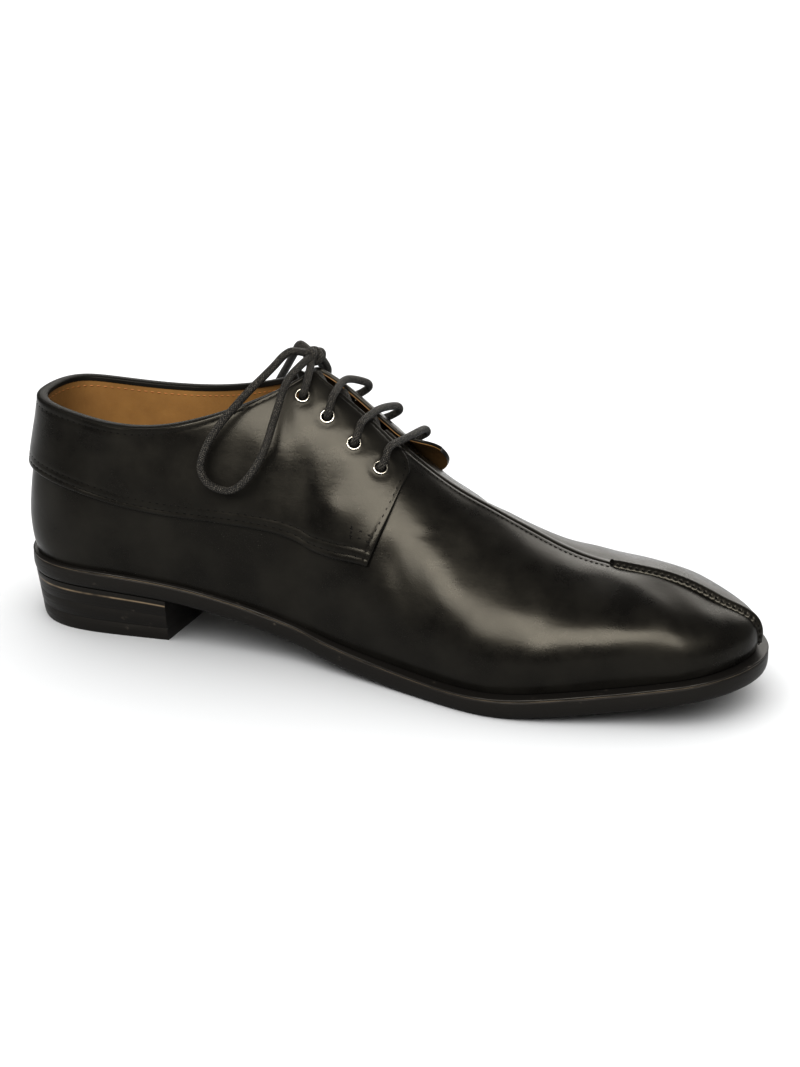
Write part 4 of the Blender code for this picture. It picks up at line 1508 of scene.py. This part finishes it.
@dataclass
class Laces:
    """Round waxed lace: bars over the facings, crossings below them, and a tied bow."""

    radius: float = 1.5
    ring: int = 14
    under_radius: float = 1.35
    knot_radius: float = 1.42

    # Medial loop, from the knot out and back to it
    BOW = ((112.3, -6.2, 116.9), (107.5, -13.0, 111.3), (100.5, -23.0, 103.0),
           (91.6, -31.6, 90.5), (87.1, -34.8, 78.8), (90.5, -36.2, 71.8), (99.1, -36.3, 69.9),
           (105.9, -35.0, 74.9), (111.7, -31.9, 85.3), (114.8, -26.6, 98.6),
           (116.0, -17.0, 109.0), (119.9, -5.5, 114.6))
    # Least distance of the loop's middle line from the last
    CLEAR = 4.4
    # Steps beside an eyelet: outwards, towards the ridge, towards the toe
    NEAR = ((-3.3, 0.0, 0.0), (-0.6, 0.1, 0.0), (1.4, 0.9, 0.4), (2.4, 3.4, 1.1), (2.8, 8.0, 2.2))
    FAR = ((2.6, 7.0, 5.8), (3.3, 2.0, 5.0), (1.8, -0.5, 1.9), (-0.6, 0.0, 0.0), (-3.3, 0.0, 0.0))
    BELOW = ((-3.3, -1.0, 0.0), (-3.1, 3.0, 0.0), (-2.9, 8.0, 0.0))
    TOP_RISE = ((121.6, 11.6, 106.8), (121.4, 7.6, 110.8), (121.0, 3.4, 113.8))
    TOP_MIDDLE = (121.0, 0.0, 114.5)
    OVER_AHEAD = 0.22
    OVER_CROWN = (1.2, 0.0, 5.2)
    UNDER_CROWN = (0.4, 0.0, -0.6)
    UNDER_FIRST = 5.0
    KNOT = (120.6, 0.0, 114.7)
    KNOT_TURNS = 2.3
    KNOT_HALVES = (2.5, 2.9, 2.3)
    KNOT_TURN_IN = (0.8, 0.78, 0.22)
    START = ((120.4, 1.0, 114.6), (117.0, -2.4, 116.3))
    END = (121.2, 0.5, 114.2)

    def tube(self, name: str, path: Array, across: Array, looks: Finishes,
             radius: float = None) -> bpy.types.Object:
        """Circle carried along a path, closed at both ends.

        Args:
            name: Name of the piece.
            path: Points in table millimetres.
            across: A direction that the path never follows.
            looks: Materials.
            radius: Radius of the circle.

        Returns:
            The object.
        """
        radius = self.radius if radius is None else radius
        ahead = unit(np.gradient(path, axis=0))
        side = unit(np.cross(ahead, np.broadcast_to(across, ahead.shape)))
        up = np.cross(side, ahead)
        turn = np.linspace(0.0, 2 * np.pi, self.ring + 1)
        grid = (path[:, None] + radius * (side[:, None] * np.cos(turn)[None, :, None]
                                          + up[:, None] * np.sin(turn)[None, :, None]))
        ends = [np.broadcast_to(path[k], grid[0].shape) for k in (0, -1)]
        grid = np.concatenate([ends[0][None], grid, ends[1][None]])
        along = arc_lengths(path)
        along = np.concatenate([[along[0]], along, [along[-1]]])
        uv = np.stack(np.meshgrid(along, turn / (2 * np.pi), indexing="ij")[::-1], -1)
        mesh = GridMesh(name)
        mesh.add(grid, 0, uv)
        return mesh.build([looks.cord], 80.0)

    def bar(self, number: int, quarters: dict) -> Array:
        """Path of a bar: out of one eyelet, over the gap and down into the other.

        Args:
            number: Number of the eyelet pair, 1 at the top.
            quarters: The quarters by side.

        Returns:
            Points in table millimetres.
        """
        near = quarters[Side.MEDIAL].eyelet(number)
        far = quarters[Side.LATERAL].eyelet(number)
        if number == 1:
            rise = np.array(self.TOP_RISE)
            mirror = np.array([1.0, -1.0, 1.0])
            rows = np.concatenate([self.route(near, self.NEAR[:3]), rise * mirror,
                                   [self.TOP_MIDDLE], rise[::-1],
                                   self.route(far, self.NEAR[:3])[::-1]])
        else:
            u = np.array(Quarter.EYELETS[number - 1][0] + self.OVER_AHEAD)
            crown = LAST.point(u, np.array(1.0)) + np.array(self.OVER_CROWN)
            rows = np.concatenate([self.route(near, self.NEAR), crown[None],
                                   self.route(far, self.FAR)])
        return resample(row_curve(rows, np.linspace(0, len(rows) - 1, 14 * len(rows))), 0.7)

    @staticmethod
    def route(eyelet: tuple, steps: tuple) -> Array:
        """Points beside an eyelet: steps outwards, towards the ridge and towards the toe.

        Args:
            eyelet: Centre, outward direction and way to the ridge.
            steps: Rows of the three steps in millimetres.

        Returns:
            One point for each row.
        """
        centre, normal, inward = eyelet
        toe = np.array([1.0, 0.0, 0.0])
        return np.array([centre + normal * up + inward * on + toe * ahead
                         for up, on, ahead in steps])

    def crossing(self, number: int, quarters: dict) -> Array:
        """Path below the facings, from a lateral eyelet to the next medial one.

        Args:
            number: Number of the eyelet pair, 1 at the top.
            quarters: The quarters by side.

        Returns:
            Points in table millimetres.
        """
        far = quarters[Side.LATERAL].eyelet(number)
        near = quarters[Side.MEDIAL].eyelet(number + 1)
        u = 0.5 * (Quarter.EYELETS[number - 1][0] + Quarter.EYELETS[number][0])
        crown = (LAST.point(np.array(max(u, self.UNDER_FIRST)), np.array(1.0))
                 + np.array(self.UNDER_CROWN))
        rows = np.concatenate([self.route(far, self.BELOW), crown[None],
                               self.route(near, self.BELOW)[::-1]])
        return resample(row_curve(rows, np.linspace(0, 6, 90)), 0.8)

    def loop(self, side: Side) -> Array:
        """Path of one loop of the bow, kept clear of the quarter.

        Args:
            side: Side of the shoe.

        Returns:
            Points in table millimetres.
        """
        rows = np.array((*self.START, *self.BOW, self.END)) * np.array([1.0, side.value, 1.0])
        path = row_curve(rows, np.linspace(0, len(rows) - 1, 31))
        u, t = np.meshgrid(np.linspace(2.5, 6.5, 161), np.linspace(0.4, 1.0, 61))
        skin = LAST.point(side.value * u, t).reshape(-1, 3)
        normal = LAST.normal(side.value * u, t).reshape(-1, 3)
        apart = path[:, None] - skin[None]
        reach = np.linalg.norm(apart, axis=-1)
        near = reach.argmin(1)
        pick = np.arange(len(path))
        within = (apart[pick, near] * normal[near]).sum(-1) < 0
        least = reach[pick, near]
        lack = np.where(within & (least < self.CLEAR), self.CLEAR + least, self.CLEAR - least)
        path = path + normal[near] * np.maximum(lack, 0.0)[:, None]
        return resample(row_curve(path, np.linspace(0, 30, 320)), 0.9)

    def build(self, looks: Finishes, quarters: dict) -> None:
        """Bars and crossings, then the knot and the declared loops.

        Args:
            looks: Materials of the shoe.
            quarters: The quarters by side.
        """
        over = np.array([1.0, 0.0, 0.25])
        for number in range(1, len(Quarter.EYELETS) + 1):
            item = self.tube("lace_over_%d" % number, self.bar(number, quarters), over, looks)
            settle(item, Slot.CORD, "lace_bar_%d" % number)
        for number in range(1, len(Quarter.EYELETS)):
            item = self.tube("lace_under_%d" % number, self.crossing(number, quarters),
                             np.array([0.6, 0.0, 0.8]), looks, self.under_radius)
            settle(item, Slot.CORD)
        turn = np.linspace(0.0, 2 * np.pi * self.KNOT_TURNS, 170)
        share = np.linspace(-1.0, 1.0, 170)
        inwards, start, span = self.KNOT_TURN_IN
        round_in = 1.0 - inwards * ease((np.abs(share) - start) / span)
        ahead, half, tall = self.KNOT_HALVES
        wrap = np.stack([ahead * round_in * np.cos(turn), half * share,
                         tall * round_in * np.sin(turn)], -1) + np.array(self.KNOT)
        knot = settle(self.tube("bow_knot", wrap, np.array([0.0, 1.0, 0.0]), looks,
                                self.knot_radius), Slot.CORD, "lace_knot")
        for side in Side:
            whole = self.loop(side)
            flat = np.linalg.svd(whole - whole.mean(0))[2][2]
            item = self.tube("bow_loop_" + side.word, whole, flat, looks)
            settle(item, Slot.CORD, "lace_loop_" + side.word)


@dataclass
class Sole:
    """Outsole with a shaped edge, arch and toe spring."""

    thick: float = 8.2
    gap: float = 0.3

    # Share of the height and offset outwards, from the underside to the top
    EDGE = ((0.0, -1.25), (0.02, -0.95), (0.07, -0.58), (0.16, -0.28), (0.30, -0.08), (0.45, 0.0),
            (0.62, -0.02), (0.76, -0.10), (0.83, -0.20), (0.865, -0.42), (0.89, -0.42),
            (0.92, -0.14), (0.955, -0.08), (0.985, -0.26), (1.0, -0.62))

    def heights(self, places: Array) -> tuple:
        """Top and underside at the sections."""
        level = LAST.value("z", places)
        return level - self.gap, np.maximum(0.0, level - self.thick)

    @staticmethod
    def walls(mesh: GridMesh, places: Array, rim: Array, low: Array, high: Array,
              profile: tuple) -> tuple:
        """Side walls: the profile's offsets carried along both edges.

        Args:
            mesh: Mesh that takes the walls.
            places: Sections from the heel.
            rim: Width outside the featherline.
            low: Height of the underside.
            high: Height of the top.
            profile: Rows of share of the height and offset outwards.

        Returns:
            Grids of the medial and the lateral wall.
        """
        table = np.array(profile)
        share, out = table[:, 0][:, None], table[:, 1][:, None]
        grids = []
        for side in Side:
            u = np.broadcast_to(side.value * places, (len(table), len(places)))
            plan = LAST.edge(u, rim[None] + out)
            level = low[None] + (high - low)[None] * share
            grid = np.concatenate([plan, level[..., None]], -1)
            along = arc_lengths(grid[-1]) * MM
            uv = np.stack(np.broadcast_arrays(along[None], share), -1)
            mesh.add(grid, 0, uv)
            grids.append(grid)
        return tuple(grids)

    @staticmethod
    def across(first: Array, second: Array, columns: int) -> Array:
        """Grid between two lines."""
        share = np.linspace(0, 1, columns)[:, None, None]
        return first[None] * (1 - share) + second[None] * share

    def build(self, looks: Finishes) -> None:
        """Walls, top and underside.

        Args:
            looks: Materials of the shoe.
        """
        places = 0.5 * LAST.toe * (1 - np.cos(np.linspace(0, np.pi, 301)))
        rim = LAST.value("rim", places)
        top, under = self.heights(places)
        mesh = GridMesh("sole_layer")
        medial, lateral = self.walls(mesh, places, rim, under, top, self.EDGE)
        roof = self.across(medial[-1], lateral[-1], 13)
        mesh.add(roof, 0, np.broadcast_to((0.0, 1.2), roof.shape[:2] + (2,)))
        mesh.add(self.across(medial[0], lateral[0], 13), 1)
        settle(mesh.build([looks.sole, looks.under], 60.0), Slot.SOLE, "outsole")


@dataclass
class Heel:
    """Stacked heel block with a top piece below."""

    breast: float = 2.9
    inset: float = 0.6
    gap: float = 0.3

    # Share of the height and offset outwards, with a groove at each lift
    EDGE = ((0.0, -2.75), (0.03, -2.45), (0.10, -2.2), (0.27, -1.85), (0.285, -2.02),
            (0.315, -2.02), (0.33, -1.70), (0.60, -1.05), (0.61, -1.13), (0.63, -1.11),
            (0.64, -0.98), (0.95, -0.20), (1.0, -0.30))

    def build(self, looks: Finishes, sole: Sole) -> None:
        """Walls, flat underside, roof and the straight front of the heel.

        Args:
            looks: Materials of the shoe.
            sole: The outsole above it.
        """
        places = self.breast * (1 - np.cos(np.linspace(0, np.pi / 2, 120)))
        rim = LAST.value("rim", places) - self.inset
        high = sole.heights(places)[1] - self.gap
        mesh = GridMesh("heel_block")
        medial, lateral = sole.walls(mesh, places, rim, np.zeros_like(high), high, self.EDGE)
        mesh.add(sole.across(medial[-1], lateral[-1], 9), 0)
        mesh.add(sole.across(medial[0], lateral[0], 9), 1)
        mesh.add(sole.across(medial[:, -1], lateral[:, -1], 9), 0)
        settle(mesh.build([looks.sole, looks.under], 50.0), Slot.SOLE, "heel")


@dataclass
class Insole:
    """Tan sock on the outsole, slightly dished."""

    thick: float = 2.8
    inset: float = 2.8

    def build(self, looks: Finishes) -> None:
        """Grid across the foot with raised edges.

        Args:
            looks: Materials of the shoe.
        """
        places = 0.5 * LAST.toe * (1 - np.cos(np.linspace(0, np.pi, 161)))
        lines = [LAST.edge(side.value * places, -self.inset) for side in Side]
        plan = Sole.across(lines[0], lines[1], 41)
        level = np.broadcast_to(LAST.value("z", places)[None], plan.shape[:2])
        share = np.linspace(-1, 1, 41)[:, None]
        dish = 0.5 * np.square(share) * np.sin(np.linspace(0, np.pi, 161))[None]
        top = np.concatenate([plan, (level + self.thick - 0.4 + dish)[..., None]], -1)
        low = np.concatenate([plan, level[..., None]], -1)
        mesh = GridMesh("insole_sock")
        mesh.shell(top, low)
        settle(mesh.build([looks.lining]), Slot.LINING, "insole")


class Reach(Enum):
    """What a light falls on: the floor alone, or everything else."""

    FLOOR = "INCLUDE"
    SHOE = "EXCLUDE"


@dataclass(frozen=True)
class SoftBox:
    """Rectangular light at a place in metres, turned to a point."""

    name: str
    place: tuple
    aim: tuple
    size: tuple
    watts: float
    reach: Reach
    colour: tuple = (1.0, 0.97, 0.92)

    def hang(self, ground: bpy.types.Object) -> None:
        """Put the light into the scene and settle what it falls on.

        Args:
            ground: The floor.
        """
        data = bpy.data.lights.new(self.name, "AREA")
        data.shape = "RECTANGLE"
        data.size, data.size_y = self.size
        data.energy = self.watts
        data.color = self.colour
        item = bpy.data.objects.new(self.name, data)
        item.location = self.place
        towards = Vector(self.aim) - Vector(self.place)
        item.rotation_euler = towards.to_track_quat("-Z", "Y").to_euler()
        bpy.context.scene.collection.objects.link(item)
        group = bpy.data.collections.new("light_reach")
        group.objects.link(ground)
        group.collection_objects[0].light_linking.link_state = self.reach.value
        item.light_linking.receiver_collection = group


@dataclass
class Studio:
    """Plain pale floor, soft boxes and a camera at the photo's angle."""

    camera: tuple = (357.7, -621.7, 302.5)
    aim: tuple = (155.07, 0.0, 45.8)
    lens: float = 60.6
    exposure: float = 0.40
    gamma: float = 0.80
    half_floor: float = 4000.0
    floor_bend: float = 3800.0
    bend_radius: float = 1500.0
    wall_top: float = 4500.0
    air_light: float = 0.22
    air_seen: float = 0.8
    air_colour: tuple = (1.0, 0.995, 0.985, 1.0)

    LIGHTS = (
        SoftBox("key_box", (0.14, -0.96, 0.97), (0.03, 0.0, 0.04), (2.0, 0.70), 65.0, Reach.SHOE),
        SoftBox("fill_box", (-0.05, 1.20, 0.85), (0.0, 0.0, 0.05), (2.0, 0.60), 9.0, Reach.SHOE),
        SoftBox("floor_box", (0.0, 0.6, 4.0), (0.0, 0.61, 0.0), (14.0, 14.0), 1150.0, Reach.FLOOR,
                (0.98, 0.99, 1.0)),
        SoftBox("wall_box", (0.0, 2.6, 2.2), (0.0, 5.3, 1.6), (8.0, 3.5), 340.0, Reach.FLOOR),
    )

    def floor(self) -> bpy.types.Object:
        """Wide pale floor that turns up far behind the shoe.

        Returns:
            The floor.
        """
        across = np.linspace(-self.half_floor, self.half_floor, 25)
        turn = np.linspace(0, np.pi / 2, 16)
        level = np.linspace(-self.half_floor, self.floor_bend, 20)[:-1]
        depth = np.concatenate([level, self.floor_bend + self.bend_radius * np.sin(turn),
                                [self.floor_bend + self.bend_radius]])
        tall = np.concatenate([np.zeros_like(level), self.bend_radius * (1 - np.cos(turn)),
                               [self.wall_top]])
        grid = np.stack(np.broadcast_arrays(across[None], depth[:, None], tall[:, None]), -1)
        book = NodeBook("pale_floor")
        tone = book.noise(book.place(), 3.0, 2.0)
        book.surface(Base_Color=book.mix(tone, (0.52, 0.52, 0.52, 1), (0.54, 0.537, 0.533, 1)),
                     Roughness=0.75, Specular_IOR_Level=0.2)
        mesh = GridMesh("floor")
        mesh.add(grid)
        item = mesh.build([book.material])
        if item.data.polygons[0].normal.z < 0:
            item.data.flip_normals()
        return item

    def view(self) -> None:
        """Camera at the photo's angle, and how its picture is developed."""
        data = bpy.data.cameras.new("camera")
        data.lens = self.lens
        data.sensor_width = 36.0
        data.clip_end = 50.0
        item = bpy.data.objects.new("camera", data)
        place, aim = (Vector(to_frame(p)) for p in (self.camera, self.aim))
        item.location = place
        item.rotation_euler = (aim - place).to_track_quat("-Z", "Y").to_euler()
        bpy.context.scene.collection.objects.link(item)
        bpy.context.scene.camera = item
        settings = bpy.context.scene.view_settings
        settings.view_transform = "Standard"
        settings.exposure = self.exposure
        settings.gamma = self.gamma

    def air(self) -> None:
        """Weak light from all round, behind which the camera sees plain white."""
        world = bpy.data.worlds.new("studio")
        world.use_nodes = True
        nodes, links = world.node_tree.nodes, world.node_tree.links
        seen, path = nodes.new("ShaderNodeMixShader"), nodes.new("ShaderNodeLightPath")
        links.new(path.outputs["Is Camera Ray"], seen.inputs[0])
        for slot, back, strength in ((1, nodes["Background"], self.air_light),
                                     (2, nodes.new("ShaderNodeBackground"), self.air_seen)):
            back.inputs[0].default_value = self.air_colour
            back.inputs[1].default_value = strength
            links.new(back.outputs[0], seen.inputs[slot])
        links.new(seen.outputs[0], nodes["World Output"].inputs[0])
        bpy.context.scene.world = world

    def build(self) -> None:
        """Set the camera, the floor and the lights."""
        self.view()
        ground = self.floor()
        for light in self.LIGHTS:
            light.hang(ground)
        self.air()


def main() -> None:
    """Build the studio, then every piece of the shoe."""
    logging.basicConfig(level=logging.INFO, format="%(name)s: %(message)s")
    Studio().build()
    looks = Finishes().make()
    quarters = {side: Quarter(side) for side in Side}
    Laces().build(looks, quarters)
    Upper().build(looks)
    for quarter in quarters.values():
        quarter.build(looks)
        Eyelets().build(looks, quarter)
    CollarEdge().build(looks)
    Seams().build(looks, list(quarters.values()))
    Tongue().build(looks)
    ToeRidge().build(looks)
    sole = Sole()
    sole.build(looks)
    Heel().build(looks, sole)
    Insole().build(looks)


if __name__ == "__main__":
    main()
